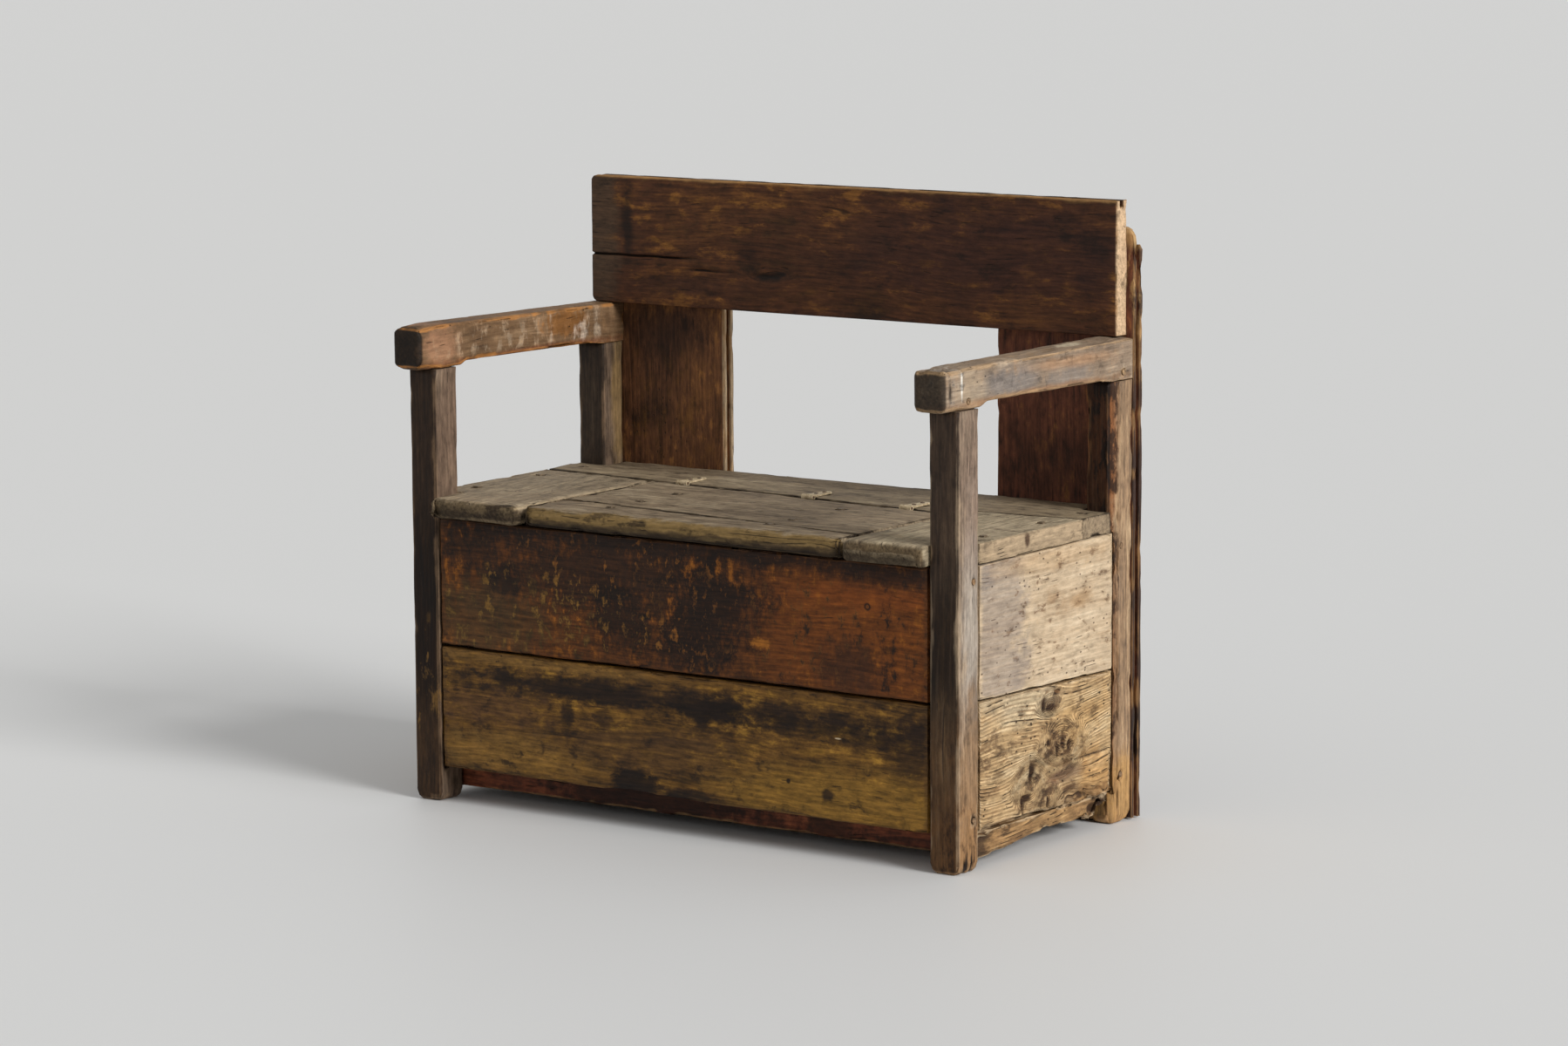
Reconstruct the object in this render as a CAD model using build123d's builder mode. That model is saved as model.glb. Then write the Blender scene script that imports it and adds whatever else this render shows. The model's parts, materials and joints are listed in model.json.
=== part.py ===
from build123d import *
import os
from math import atan2, degrees

# Overall sizes, in millimetres
frame_width = 940.0  # over the outer faces of the posts
frame_depth = 446.0  # front of the front posts to the rear of the back posts
seat_height = 447.0  # top of the seat
seat_thickness = 31.0
arm_height = 685.0  # nominal top of the arms
arm_thickness = 57.0
back_height = 878.0  # top of the back board

# Posts
post_width = 48.0
front_post_depth = 52.0
back_post_depth = 50.0
post_bevel = 3.0  # worn arrises
foot_height = 14.0  # the feet are worn round over this height
foot_step = 5.0
foot_step_inset = 2.0
sole_inset = 6.0
post_tenon_width = 22.0  # tenons that carry the arms
post_tenon_depth = 30.0
post_tenon_height = 34.0
eroded_arris = 17.0  # diagonal strip lost from the right back post
heel_height = 34.0  # worn heel of the right back post
heel_length = 24.0

# Arms
arm_width = 50.0
arm_overhang = 36.0  # in front of the front posts
arm_end_rounding = 9.0
arm_top_bevel = 3.0
arm_rear_rise = 2.5  # the arms rise to the back board
left_arm_front_rise = 8.0  # the left arm is thicker at its front
right_arm_front_rise = 1.0
arm_under_bevel = 3.0
arm_relief = 6.0  # hollow under the arm, between the posts
arm_relief_run = 24.0
arm_relief_rear = 3.0

# Boards of the box
front_board_thickness = 24.0
front_board_recess = 2.0
side_board_thickness = 20.0
side_board_recess = 1.0
rear_board_thickness = 20.0
box_bottom = 52.0  # lower edge of the front, side and rear boards
front_seam_height = 230.0
side_seam_height = 231.0  # at the front post
side_seam_drop = 8.0  # the side seam falls towards the back
seam_gap = 2.5
board_end_gap = 3.0
board_bevel = 2.0
tongue_thickness = 9.0
tongue_length = 8.0
groove_play = 0.2
groove_end_play = 1.0
waney_edge = 3.0  # wander of the side boards' lower edge
waney_dip = 110.0  # in front of the back posts
waney_rise = 225.0

# Rails and bearer
rail_thickness = 24.0
top_rail_height = 44.0
bottom_rail_base = 12.0  # lowest edge above the floor
bottom_rail_height = 78.0
bottom_rail_recess = 8.0  # behind the outer faces of the posts
bottom_rail_inner = 40.0  # inner face, from the outer faces of the posts
rail_tenon_thickness = 14.0
rail_tenon_length = 32.0
rail_tenon_shoulder = 7.0
rail_tenon_setback = 2.0
bottom_tenon_base = 30.0
right_rail_decay = 11.0  # how far the lower edge has rotted, at the rear
left_rail_decay = 4.0
decay_near = 20.0  # in front of the back posts
decay_far = 110.0
cross_rail_base = 15.0
cross_rail_top = 70.0
cross_rail_setback = 2.0  # clear of the posts
stub_tenon = 12.0
stub_shoulder = 8.0
bearer_width = 50.0
bearer_height = 28.0
joint_play = 0.2

# Floor of the box
floor_board_count = 5
floor_board_thickness = 18.0
floor_board_gap = 2.0
floor_play = 2.0

# Seat and lid
left_end_width = 207.0
right_end_width = 183.0
left_nose = 24.0  # overhang in front of the posts
right_nose = 18.0
lid_nose = 10.0
nose_rounding = 12.0
nose_under_bevel = 4.0
right_corner_rounding = 18.0
left_corner_rounding = 6.0
lip_width = 12.0  # lip at the end of the right nose's rebate
lip_corner = 5.0
rebate_height = 16.0
rebate_depth = 6.0
post_notch_play = 0.5
seat_joint_gap = 1.5
back_left_width = 128.0  # width of the seat back board along its length
back_hinge_width = 185.0
back_step_width = 146.0
back_right_width = 128.0
back_end_inset = 4.0  # its right end stops short of the post's outer face
lid_side_gap = 3.0
lid_rear_gap = 3.0
lid_split_gap = 1.2
lid_front_left_width = 98.0
lid_front_right_width = 46.0
lid_arris = 1.2
batten_width = 45.0
batten_thickness = 20.0
batten_front_play = 5.0
batten_rear_play = 6.0
left_batten_margin = 110.0
right_batten_margin = 150.0

# Hinges
hinge_left_margin = 56.0
hinge_right_margin = 76.0
hinge_middle_shift = 29.0
leaf_width = 20.0
leaf_thickness = 2.5
seat_leaf_length = 50.0
seat_leaf_tail = 12.0  # width of the seat leaf's rounded end
lid_leaf_length = 26.0
knuckle_radius = 4.0
knuckle_length = 8.0  # middle knuckle
knuckle_gap = 0.3
pin_radius = 2.0
pin_play = 0.05
pin_overhang = 0.3
pocket_play = 0.5

# Back
plank_thickness = 24.0
left_plank_width = 235.0
right_plank_width = 226.0
left_plank_top = 834.0
right_plank_top = 840.0
plank_floor_gap = 1.5
plank_groove = 8.5
plank_groove_depth = 8.0
plank_lip = 9.0  # sound front edge of a plank's top
plank_wear_run = 5.0
plank_wear_step = 23.0
plank_top_wear = 33.0  # the rear of the top is worn this much lower
back_board_thickness = 27.0
back_board_base = 688.0
back_board_left_inset = 11.0
back_board_right_inset = 11.0
back_groove = 8.0
back_groove_depth = 9.0
back_board_rounding = 2.0
back_corner_rounding = 10.0

# Pegs and nails
peg_radius = 4.2  # to the corners: the pegs are whittled to flats
peg_sides = 8
peg_length = 42.0
peg_play = 0.1
front_peg_setback = 14.0
back_peg_setback = 20.0
top_peg_drop = 20.0  # below the seat's underside
bottom_peg_height = 71.0
arm_peg_rise = 12.0
nail_shank = 3.4
nail_head = 8.0
nail_head_thickness = 2.0
nail_play = 0.1
seat_nail_length = 56.0
lid_nail_length = 45.0
plank_nail_length = 40.0
plank_nail_margin = 55.0
back_nail_low = 38.0  # above the back board's lower edge
back_nail_high = 80.0
seat_nail_margin = 60.0
seat_back_nail_margin = 32.0
hinge_nail_shank = 2.0
hinge_nail_head = 4.6
hinge_nail_head_thickness = 1.0
hinge_nail_length = 16.0
seat_leaf_nail_near = 18.0  # behind the pin
seat_leaf_nail_far = 37.0
lid_leaf_nail_drop = 18.0  # below the pin
lid_leaf_nail_spacing = 10.0
cut_margin = 5.0  # cuts run this far out of the wood

# Main planes, with the origin on the floor under the middle of the bench
half_width = frame_width / 2
inner_half = half_width - post_width
arm_front = -(arm_overhang + frame_depth + plank_thickness) / 2
front_face = arm_front + arm_overhang
back_face = front_face + frame_depth
rear_face = back_face + plank_thickness
front_join = front_face + front_post_depth
back_join = back_face - back_post_depth
seat_underside = seat_height - seat_thickness
arm_underside = arm_height - arm_thickness
top_rail_base = seat_underside - top_rail_height
bottom_rail_top = bottom_rail_base + bottom_rail_height
front_board_face = front_face + front_board_recess
front_board_rear = front_board_face + front_board_thickness
rear_board_front = back_face - rear_board_thickness
side_board_inner = side_board_recess + side_board_thickness
tenon_near = side_board_inner + rail_tenon_setback
tenon_far = tenon_near + rail_tenon_thickness
groove_depth = tongue_length + groove_end_play
lid_left = left_end_width - half_width + lid_side_gap
lid_right = half_width - right_end_width - lid_side_gap
lid_front = front_face - lid_nose
bearer_front = back_face - back_hinge_width + lid_rear_gap
front_rail_span = (front_join + cross_rail_setback, front_join + cross_rail_setback + rail_thickness)
rear_rail_span = (back_join - cross_rail_setback - rail_thickness, back_join - cross_rail_setback)

os.makedirs("parts", exist_ok=True)


def finish(part, name):
    part.label = name
    export_step(part, f"parts/{name}.step")


# Span in X between two distances from the outer face of a side
def across(side, near, far):
    return sorted((side * (half_width - near), side * (half_width - far)))


def block(x_span, y_span, z_span, mode=Mode.ADD):
    spans = (x_span, y_span, z_span)
    with Locations(tuple((low + high) / 2 for low, high in spans)):
        Box(*(high - low for low, high in spans), mode=mode)


def between(start, end, share):
    return start + (end - start) * share


# Y of the joint between the lid and the seat back board
def hinge_line(x):
    share = (x + half_width) / (frame_width - right_end_width)
    return back_face - between(back_left_width, back_hinge_width, share)


# Y of the joint between the two boards of the lid
def split_line(x):
    share = (x - lid_left) / (lid_right - lid_left)
    return lid_front + between(lid_front_left_width, lid_front_right_width, share)


# A whittled peg along X, and the hole for it
with BuildPart() as peg:
    with BuildSketch(Plane.YZ):
        RegularPolygon(peg_radius, peg_sides)
    extrude(amount=peg_length / 2, both=True)
with BuildPart() as peg_hole:
    with BuildSketch(Plane.YZ):
        RegularPolygon(peg_radius + peg_play, peg_sides)
    extrude(amount=peg_length / 2, both=True)


# Hole for a peg driven in from the outer face of a side
def cut_peg(side, y, z):
    with Locations((side * (half_width - peg_length / 2), y, z)):
        add(peg_hole.part, mode=Mode.SUBTRACT)


# Square holes for nails; a nail points down from the top of its head
def cut_nails(places, shank, head, head_thickness, length):
    top = (Align.CENTER, Align.CENTER, Align.MAX)
    hole = shank + 2 * nail_play
    rim = head + 2 * nail_play
    with Locations(*places):
        Box(hole, hole, length + nail_play, align=top, mode=Mode.SUBTRACT)
        Box(rim, rim, head_thickness, align=top, mode=Mode.SUBTRACT)


hinge_skew = degrees(atan2(hinge_line(lid_right) - hinge_line(lid_left), lid_right - lid_left))
hinge_first = lid_left + hinge_left_margin
hinge_last = lid_right - hinge_right_margin
hinge_stations = (hinge_first, (hinge_first + hinge_last) / 2 + hinge_middle_shift, hinge_last)
hinge_places = [Location((x, hinge_line(x), seat_height), (0, 0, hinge_skew)) for x in hinge_stations]
batten_stations = (lid_left + left_batten_margin, lid_right - right_batten_margin)
batten_front = front_board_rear + batten_front_play

seat_nail = (nail_shank, nail_head, nail_head_thickness, seat_nail_length)
lid_nail = (nail_shank, nail_head, nail_head_thickness, lid_nail_length)
plank_nail = (nail_shank, nail_head, nail_head_thickness, plank_nail_length)
hinge_nail = (hinge_nail_shank, hinge_nail_head, hinge_nail_head_thickness, hinge_nail_length)

seat_nail_x = half_width - side_board_inner - rail_thickness / 2
end_nail_rows = (front_join + seat_nail_margin, back_face - back_left_width - seat_nail_margin)
back_nail_row = back_join - seat_back_nail_margin
seat_nail_rows = (*end_nail_rows, back_nail_row)
seat_nails = [Location((x, y, seat_height)) for x in (-seat_nail_x, seat_nail_x) for y in seat_nail_rows]
lid_nails = []
for station in batten_stations:
    front_nail = (batten_front + split_line(station)) / 2
    middle_nail = split_line(station) + batten_width
    rear_nail = bearer_front - batten_rear_play - batten_width
    lid_nails.extend(Location((station, y, seat_height)) for y in (front_nail, middle_nail, rear_nail))

left_plank_span = (-half_width, left_plank_width - half_width)
right_plank_span = (half_width - right_plank_width, half_width)
plank_nail_heights = (
    (box_bottom + front_seam_height) / 2,
    (front_seam_height + seat_underside) / 2,
    back_board_base + back_nail_low,
    back_board_base + back_nail_high,
)
plank_nail_columns = (
    left_plank_span[0] + post_width + plank_nail_margin,
    left_plank_span[1] - plank_nail_margin,
    right_plank_span[0] + plank_nail_margin,
    right_plank_span[1] - post_width - plank_nail_margin,
)
plank_nails = [
    Location((x, rear_face, z), (-90, 0, 0)) for x in plank_nail_columns for z in plank_nail_heights
]

seat_leaf_top = leaf_thickness + hinge_nail_head_thickness
seat_leaf_nails = [Location((0, y, seat_leaf_top)) for y in (seat_leaf_nail_near, seat_leaf_nail_far)]
lid_leaf_face = -lid_rear_gap / 2
lid_nail_face = lid_leaf_face + hinge_nail_head_thickness
lid_leaf_nails = [
    Location((x, lid_nail_face, -lid_leaf_nail_drop), (-90, 0, 0))
    for x in (-lid_leaf_nail_spacing / 2, lid_leaf_nail_spacing / 2)
]
seat_hinge_nails = [place * nail for place in hinge_places for nail in seat_leaf_nails]
lid_hinge_nails = [place * nail for place in hinge_places for nail in lid_leaf_nails]


# Posts: worn feet, tenons for the arms, grooves for the boards and mortises for the rails
def make_post(side, name, join, into, depth, tongue_y, peg_setback, eroded=False):
    centre = (side * (half_width - post_width / 2), join + into * depth / 2)
    with BuildPart() as post:
        for height, inset in ((0, sole_inset), (foot_step, foot_step_inset), (foot_height, 0)):
            with BuildSketch(Plane.XY.offset(height)) as section:
                with Locations(centre):
                    Rectangle(post_width - 2 * inset, depth - 2 * inset)
                chamfer(section.vertices(), post_bevel)
        loft(ruled=True)
        extrude(post.faces().sort_by(Axis.Z)[-1], amount=arm_underside - foot_height)
        with BuildSketch(Plane.XY.offset(arm_underside)):
            with Locations(centre):
                Rectangle(post_tenon_width, post_tenon_depth)
        extrude(amount=post_tenon_height)

        half_groove = tongue_thickness / 2 + groove_play
        board_zone = (box_bottom - waney_edge - groove_end_play, seat_underside)
        block(
            across(side, post_width - groove_depth, post_width),
            (tongue_y - half_groove, tongue_y + half_groove),
            board_zone,
            Mode.SUBTRACT,
        )
        side_tongue = side_board_recess + side_board_thickness / 2
        block(
            across(side, side_tongue - half_groove, side_tongue + half_groove),
            sorted((join, join + into * groove_depth)),
            board_zone,
            Mode.SUBTRACT,
        )
        tenon_zones = (
            (top_rail_base + rail_tenon_shoulder, seat_underside - rail_tenon_shoulder),
            (bottom_tenon_base, bottom_rail_top - rail_tenon_shoulder),
        )
        for low, high in tenon_zones:
            block(
                across(side, tenon_near - joint_play, tenon_far + joint_play),
                sorted((join, join + into * (rail_tenon_length + joint_play))),
                (low - joint_play, high + joint_play),
                Mode.SUBTRACT,
            )
        for height in (seat_underside - top_peg_drop, bottom_peg_height):
            cut_peg(side, join + into * peg_setback, height)
        cut_peg(side, centre[1], arm_underside + arm_peg_rise)

        if eroded:
            with BuildSketch():
                with Locations((side * half_width, join)):
                    Rectangle(eroded_arris, eroded_arris, rotation=45)
            extrude(amount=arm_underside, mode=Mode.SUBTRACT)
            far = join + into * depth
            with BuildSketch(Plane.YZ):
                with BuildLine():
                    Polyline(
                        (far, heel_height),
                        (far + into * cut_margin, heel_height),
                        (far + into * cut_margin, -cut_margin),
                        (far - into * heel_length, -cut_margin),
                        (far - into * heel_length, 0),
                    )
                    EllipticalCenterArc(
                        (far - into * heel_length, heel_height),
                        heel_length,
                        heel_height,
                        start_angle=270,
                        arc_size=90,
                    )
                make_face()
            extrude(amount=half_width + cut_margin, mode=Mode.SUBTRACT)
    finish(post.part, name)


front_tongue_y = front_board_face + front_board_thickness / 2
rear_tongue_y = back_face - rear_board_thickness / 2
for side, word in ((-1, "left"), (1, "right")):
    make_post(
        side, f"front_{word}_post", front_join, -1, front_post_depth, front_tongue_y, front_peg_setback
    )
    make_post(
        side,
        f"back_{word}_post",
        back_join,
        1,
        back_post_depth,
        rear_tongue_y,
        back_peg_setback,
        eroded=side > 0,
    )


# Arms: hollowed underneath between the posts, rounded at the front
def make_arm(side, name, front_rise):
    relief_start = front_join + arm_under_bevel
    relief_end = back_join - arm_under_bevel
    with BuildPart() as arm:
        with BuildSketch(Plane.YZ.offset(across(side, 0, arm_width)[0])):
            with BuildLine():
                Polyline(
                    (relief_start, arm_underside),
                    (arm_front, arm_underside),
                    (arm_front, arm_height + front_rise),
                    (back_face, arm_height + arm_rear_rise),
                    (back_face, arm_underside),
                    (relief_end, arm_underside),
                    (relief_end - arm_relief_run, arm_underside + arm_relief_rear),
                    (relief_start + arm_relief_run, arm_underside + arm_relief),
                )
                Spline(
                    (relief_start + arm_relief_run, arm_underside + arm_relief),
                    (relief_start, arm_underside),
                    tangents=((-1, 0), (-1, 0)),
                )
            make_face()
        extrude(amount=arm_width)
        fillet(arm.edges().filter_by(Axis.Z).group_by(Axis.Y)[0], arm_end_rounding)
        chamfer(arm.faces().sort_by(Axis.Z)[-1].edges(), arm_top_bevel)
        front_under = arm.faces().group_by(Axis.Z)[0].sort_by(Axis.Y)[0]
        chamfer(front_under.edges().sort_by(Axis.Y)[:-1], arm_under_bevel)
        post_x = side * (half_width - post_width / 2)
        tenon_ys = (front_join - front_post_depth / 2, back_join + back_post_depth / 2)
        for tenon_y in tenon_ys:
            half_x = post_tenon_width / 2 + joint_play
            half_y = post_tenon_depth / 2 + joint_play
            block(
                (post_x - half_x, post_x + half_x),
                (tenon_y - half_y, tenon_y + half_y),
                (arm_underside, arm_underside + post_tenon_height + joint_play),
                Mode.SUBTRACT,
            )
            cut_peg(side, tenon_y, arm_underside + arm_peg_rise)
    finish(arm.part, name)


make_arm(-1, "left_arm", left_arm_front_rise)
make_arm(1, "right_arm", right_arm_front_rise)


# Front and rear boards, with tongues that fit the grooves of the posts
def make_cross_board(name, y_span, z_span, at_rear):
    shoulder = inner_half - board_end_gap
    tip = inner_half + tongue_length
    cheek = (y_span[1] - y_span[0] - tongue_thickness) / 2
    with BuildPart() as board:
        block((-tip, tip), y_span, z_span)
        for end in (-1, 1):
            for cheek_span in ((y_span[0], y_span[0] + cheek), (y_span[1] - cheek, y_span[1])):
                block(sorted((end * shoulder, end * tip)), cheek_span, z_span, Mode.SUBTRACT)
        worn = board.faces().filter_by(Axis.Y).sort_by(Axis.Y)[-1 if at_rear else 0]
        chamfer(worn.edges().filter_by(Axis.X), board_bevel)
        if at_rear:
            cut_nails(plank_nails, *plank_nail)
    finish(board.part, name)


front_span = (front_board_face, front_board_rear)
rear_span = (rear_board_front, back_face)
upper_span = (front_seam_height + seam_gap / 2, seat_underside)
lower_span = (box_bottom, front_seam_height - seam_gap / 2)
make_cross_board("front_upper_board", front_span, upper_span, False)
make_cross_board("front_lower_board", front_span, lower_span, False)
make_cross_board("rear_upper_board", rear_span, upper_span, True)
make_cross_board("rear_lower_board", rear_span, lower_span, True)


# Side boards: the seam between them falls towards the back, the lower one has a waney edge
def make_side_board(side, name, upper):
    start = front_join - tongue_length
    end = back_join + tongue_length
    x_span = across(side, side_board_recess, side_board_inner)
    half_seam = seam_gap / 2 if upper else -seam_gap / 2
    seam_front = side_seam_height + half_seam
    seam_rear = seam_front - side_seam_drop
    with BuildPart() as board:
        with BuildSketch(Plane.YZ.offset(x_span[0])):
            with BuildLine():
                if upper:
                    Polyline(
                        (start, seam_front), (start, seat_underside), (end, seat_underside), (end, seam_rear)
                    )
                    Line((end, seam_rear), (start, seam_front))
                else:
                    Polyline((start, box_bottom), (start, seam_front), (end, seam_rear), (end, box_bottom))
                    Spline(
                        (end, box_bottom),
                        (back_join - waney_dip, box_bottom - waney_edge),
                        (back_join - waney_rise, box_bottom + waney_edge),
                        (start, box_bottom),
                    )
            make_face()
        extrude(amount=side_board_thickness)
        cheek = (side_board_thickness - tongue_thickness) / 2
        tall = (0, seat_underside)
        for y_span in (
            (start, front_join + board_end_gap),
            (back_join - board_end_gap, end),
        ):
            block((x_span[0], x_span[0] + cheek), y_span, tall, Mode.SUBTRACT)
            block((x_span[1] - cheek, x_span[1]), y_span, tall, Mode.SUBTRACT)
    finish(board.part, name)


# Rails under the seat ends, tenoned and pegged into the posts
def make_top_rail(side, name):
    x_span = across(side, side_board_inner, side_board_inner + rail_thickness)
    bearer_y = (bearer_front, bearer_front + bearer_width)
    with BuildPart() as rail:
        block(x_span, (front_join, back_join), (top_rail_base, seat_underside))
        block(
            across(side, tenon_near, tenon_far),
            (front_join - rail_tenon_length, back_join + rail_tenon_length),
            (top_rail_base + rail_tenon_shoulder, seat_underside - rail_tenon_shoulder),
        )
        inner = side_board_inner + rail_thickness
        block(
            across(side, inner - stub_tenon - joint_play, inner),
            (bearer_y[0] + stub_shoulder - joint_play, bearer_y[1] - stub_shoulder + joint_play),
            (seat_underside - bearer_height, seat_underside),
            Mode.SUBTRACT,
        )
        for y in (front_join - front_peg_setback, back_join + back_peg_setback):
            cut_peg(side, y, seat_underside - top_peg_drop)
        cut_nails(seat_nails, *seat_nail)
    finish(rail.part, name)


# Bottom rails: rebated for the side boards, with a rotted lower edge
def make_bottom_rail(side, name, decay):
    rebate_top = box_bottom - waney_edge - groove_end_play
    with BuildPart() as rail:
        with BuildSketch(Plane.YZ.offset(across(side, bottom_rail_recess, bottom_rail_inner)[0])):
            with BuildLine():
                Polyline(
                    (front_join, bottom_rail_base),
                    (front_join, bottom_rail_top),
                    (back_join, bottom_rail_top),
                    (back_join, bottom_rail_base + 2 * decay),
                )
                Spline(
                    (back_join, bottom_rail_base + 2 * decay),
                    (back_join - decay_near, bottom_rail_base + decay),
                    (back_join - decay_far, bottom_rail_base + decay),
                    (front_join + decay_near, bottom_rail_base),
                    (front_join, bottom_rail_base),
                )
            make_face()
        extrude(amount=bottom_rail_inner - bottom_rail_recess)
        block(
            across(side, bottom_rail_recess, side_board_inner),
            (front_join, back_join),
            (rebate_top, bottom_rail_top),
            Mode.SUBTRACT,
        )
        for y_span in (
            (front_join - rail_tenon_length, front_join),
            (back_join, back_join + rail_tenon_length),
        ):
            tenon_zone = (bottom_tenon_base, bottom_rail_top - rail_tenon_shoulder)
            block(across(side, tenon_near, tenon_far), y_span, tenon_zone)
        for y_span in (front_rail_span, rear_rail_span):
            block(
                across(side, bottom_rail_inner - stub_tenon - joint_play, bottom_rail_inner),
                (y_span[0] + stub_shoulder - joint_play, y_span[1] - stub_shoulder + joint_play),
                (cross_rail_base + stub_shoulder - joint_play, cross_rail_top - stub_shoulder + joint_play),
                Mode.SUBTRACT,
            )
        for y in (front_join - front_peg_setback, back_join + back_peg_setback):
            cut_peg(side, y, bottom_peg_height)
    finish(rail.part, name)


for side, word in ((-1, "left"), (1, "right")):
    make_side_board(side, f"{word}_side_upper_board", True)
    make_side_board(side, f"{word}_side_lower_board", False)
    make_top_rail(side, f"{word}_top_rail")
    make_bottom_rail(side, f"{word}_bottom_rail", right_rail_decay if side > 0 else left_rail_decay)

# Cross rails under the floor, housed in the bottom rails
for name, y_span in (("front_bottom_rail", front_rail_span), ("rear_bottom_rail", rear_rail_span)):
    rail_end = half_width - bottom_rail_inner
    with BuildPart() as cross_rail:
        block((-rail_end, rail_end), y_span, (cross_rail_base, cross_rail_top))
        block(
            (-rail_end - stub_tenon, rail_end + stub_tenon),
            (y_span[0] + stub_shoulder, y_span[1] - stub_shoulder),
            (cross_rail_base + stub_shoulder, cross_rail_top - stub_shoulder),
        )
        chamfer(cross_rail.edges().filter_by(Axis.X).group_by(Axis.Z)[0], board_bevel)
    finish(cross_rail.part, name)

# Bearer under the rear joint of the seat
bearer_end = half_width - side_board_inner - rail_thickness
with BuildPart() as bearer:
    block(
        (-bearer_end, bearer_end),
        (bearer_front, bearer_front + bearer_width),
        (seat_underside - bearer_height, seat_underside),
    )
    block(
        (-bearer_end - stub_tenon, bearer_end + stub_tenon),
        (bearer_front + stub_shoulder, bearer_front + bearer_width - stub_shoulder),
        (seat_underside - bearer_height, seat_underside),
    )
finish(bearer.part, "seat_bearer")

# Floor boards, front to back
floor_width = 2 * (inner_half - floor_play)
floor_board_width = (floor_width - (floor_board_count - 1) * floor_board_gap) / floor_board_count
for index in range(floor_board_count):
    left = index * (floor_board_width + floor_board_gap) - floor_width / 2
    with BuildPart() as floor_board:
        block(
            (left, left + floor_board_width),
            (front_board_rear + floor_play, rear_board_front - floor_play),
            (cross_rail_top, cross_rail_top + floor_board_thickness),
        )
    finish(floor_board.part, f"floor_board_{index + 1}")


# Seat ends: notched round the front posts, with worn noses
def make_seat_end(side, name, width, nose, corner, rear_outer, rear_inner):
    inner_x = side * (half_width - width)
    notch_x = side * (inner_half - post_notch_play)
    outer_x = side * half_width
    notch_y = front_join + post_notch_play
    with BuildPart() as seat_end:
        with BuildSketch(Plane.XY.offset(seat_underside)) as outline:
            with BuildLine():
                Polyline(
                    (inner_x, front_face - nose),
                    (notch_x, front_face - nose),
                    (notch_x, notch_y),
                    (outer_x, notch_y),
                    (outer_x, rear_outer - seat_joint_gap),
                    (inner_x, rear_inner - seat_joint_gap),
                    close=True,
                )
            make_face()
            front_corner = outline.vertices().group_by(Axis.Y)[0].sort_by(Axis.X)[0 if side > 0 else -1]
            fillet(front_corner, corner)
        extrude(amount=seat_thickness)
        front_edges = seat_end.edges().filter_by(GeomType.LINE).filter_by(Axis.X).group_by(Axis.Y)[0]
        fillet(front_edges.sort_by(Axis.Z)[-1], nose_rounding)
        chamfer(seat_end.edges().filter_by(Axis.X).group_by(Axis.Z)[0].sort_by(Axis.Y)[0], nose_under_bevel)
        if side > 0:
            with BuildSketch(Plane.XZ.offset(nose - front_face)) as rebate:
                with BuildLine():
                    Polyline(
                        (inner_x, seat_underside),
                        (notch_x - lip_width, seat_underside),
                        (notch_x - lip_width, seat_underside + rebate_height),
                        (inner_x, seat_underside + rebate_height),
                        close=True,
                    )
                make_face()
                fillet(rebate.vertices().group_by(Axis.Z)[-1].sort_by(Axis.X)[-1], lip_corner)
            extrude(amount=-rebate_depth, mode=Mode.SUBTRACT)
        cut_nails(seat_nails, *seat_nail)
    finish(seat_end.part, name)


left_joint = (hinge_line(-half_width), hinge_line(left_end_width - half_width))
right_joint = (back_face - back_right_width, back_face - back_step_width)
make_seat_end(-1, "seat_left_end", left_end_width, left_nose, left_corner_rounding, *left_joint)
make_seat_end(1, "seat_right_end", right_end_width, right_nose, right_corner_rounding, *right_joint)

# Seat back board: notched round the back posts, stepped where the right seat end runs further back
step_x = half_width - right_end_width
end_x = half_width - back_end_inset
notch_x = inner_half - post_notch_play
notch_y = back_join - post_notch_play
with BuildPart() as seat_back:
    with BuildSketch(Plane.XY.offset(seat_underside)):
        with BuildLine():
            Polyline(
                (-half_width, hinge_line(-half_width) + lid_rear_gap / 2),
                (step_x, hinge_line(step_x) + lid_rear_gap / 2),
                (step_x, back_face - back_step_width),
                (end_x, back_face - back_right_width),
                (end_x, notch_y),
                (notch_x, notch_y),
                (notch_x, back_face),
                (-notch_x, back_face),
                (-notch_x, notch_y),
                (-half_width, notch_y),
                close=True,
            )
        make_face()
    extrude(amount=seat_thickness)
    with Locations(*hinge_places):
        pocket = (leaf_width + 2 * pocket_play, knuckle_radius + pocket_play, knuckle_radius + pocket_play)
        Box(*pocket, align=(Align.CENTER, Align.MIN, Align.MAX), mode=Mode.SUBTRACT)
    cut_nails(seat_nails, *seat_nail)
    cut_nails(seat_hinge_nails, *hinge_nail)
finish(seat_back.part, "seat_back_board")

# Lid: two boards with a slanting joint, held by battens underneath
with BuildPart() as lid_front_board:
    with BuildSketch(Plane.XY.offset(seat_underside)):
        with BuildLine():
            Polyline(
                (lid_left, lid_front),
                (lid_right, lid_front),
                (lid_right, split_line(lid_right) - lid_split_gap / 2),
                (lid_left, split_line(lid_left) - lid_split_gap / 2),
                close=True,
            )
        make_face()
    extrude(amount=seat_thickness)
    nose_edges = lid_front_board.edges().group_by(Axis.Y)[0].filter_by(Axis.X).sort_by(Axis.Z)
    fillet(nose_edges[-1], nose_rounding)
    chamfer(nose_edges[0], nose_under_bevel)
    cut_nails(lid_nails, *lid_nail)
finish(lid_front_board.part, "lid_front_board")

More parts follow.
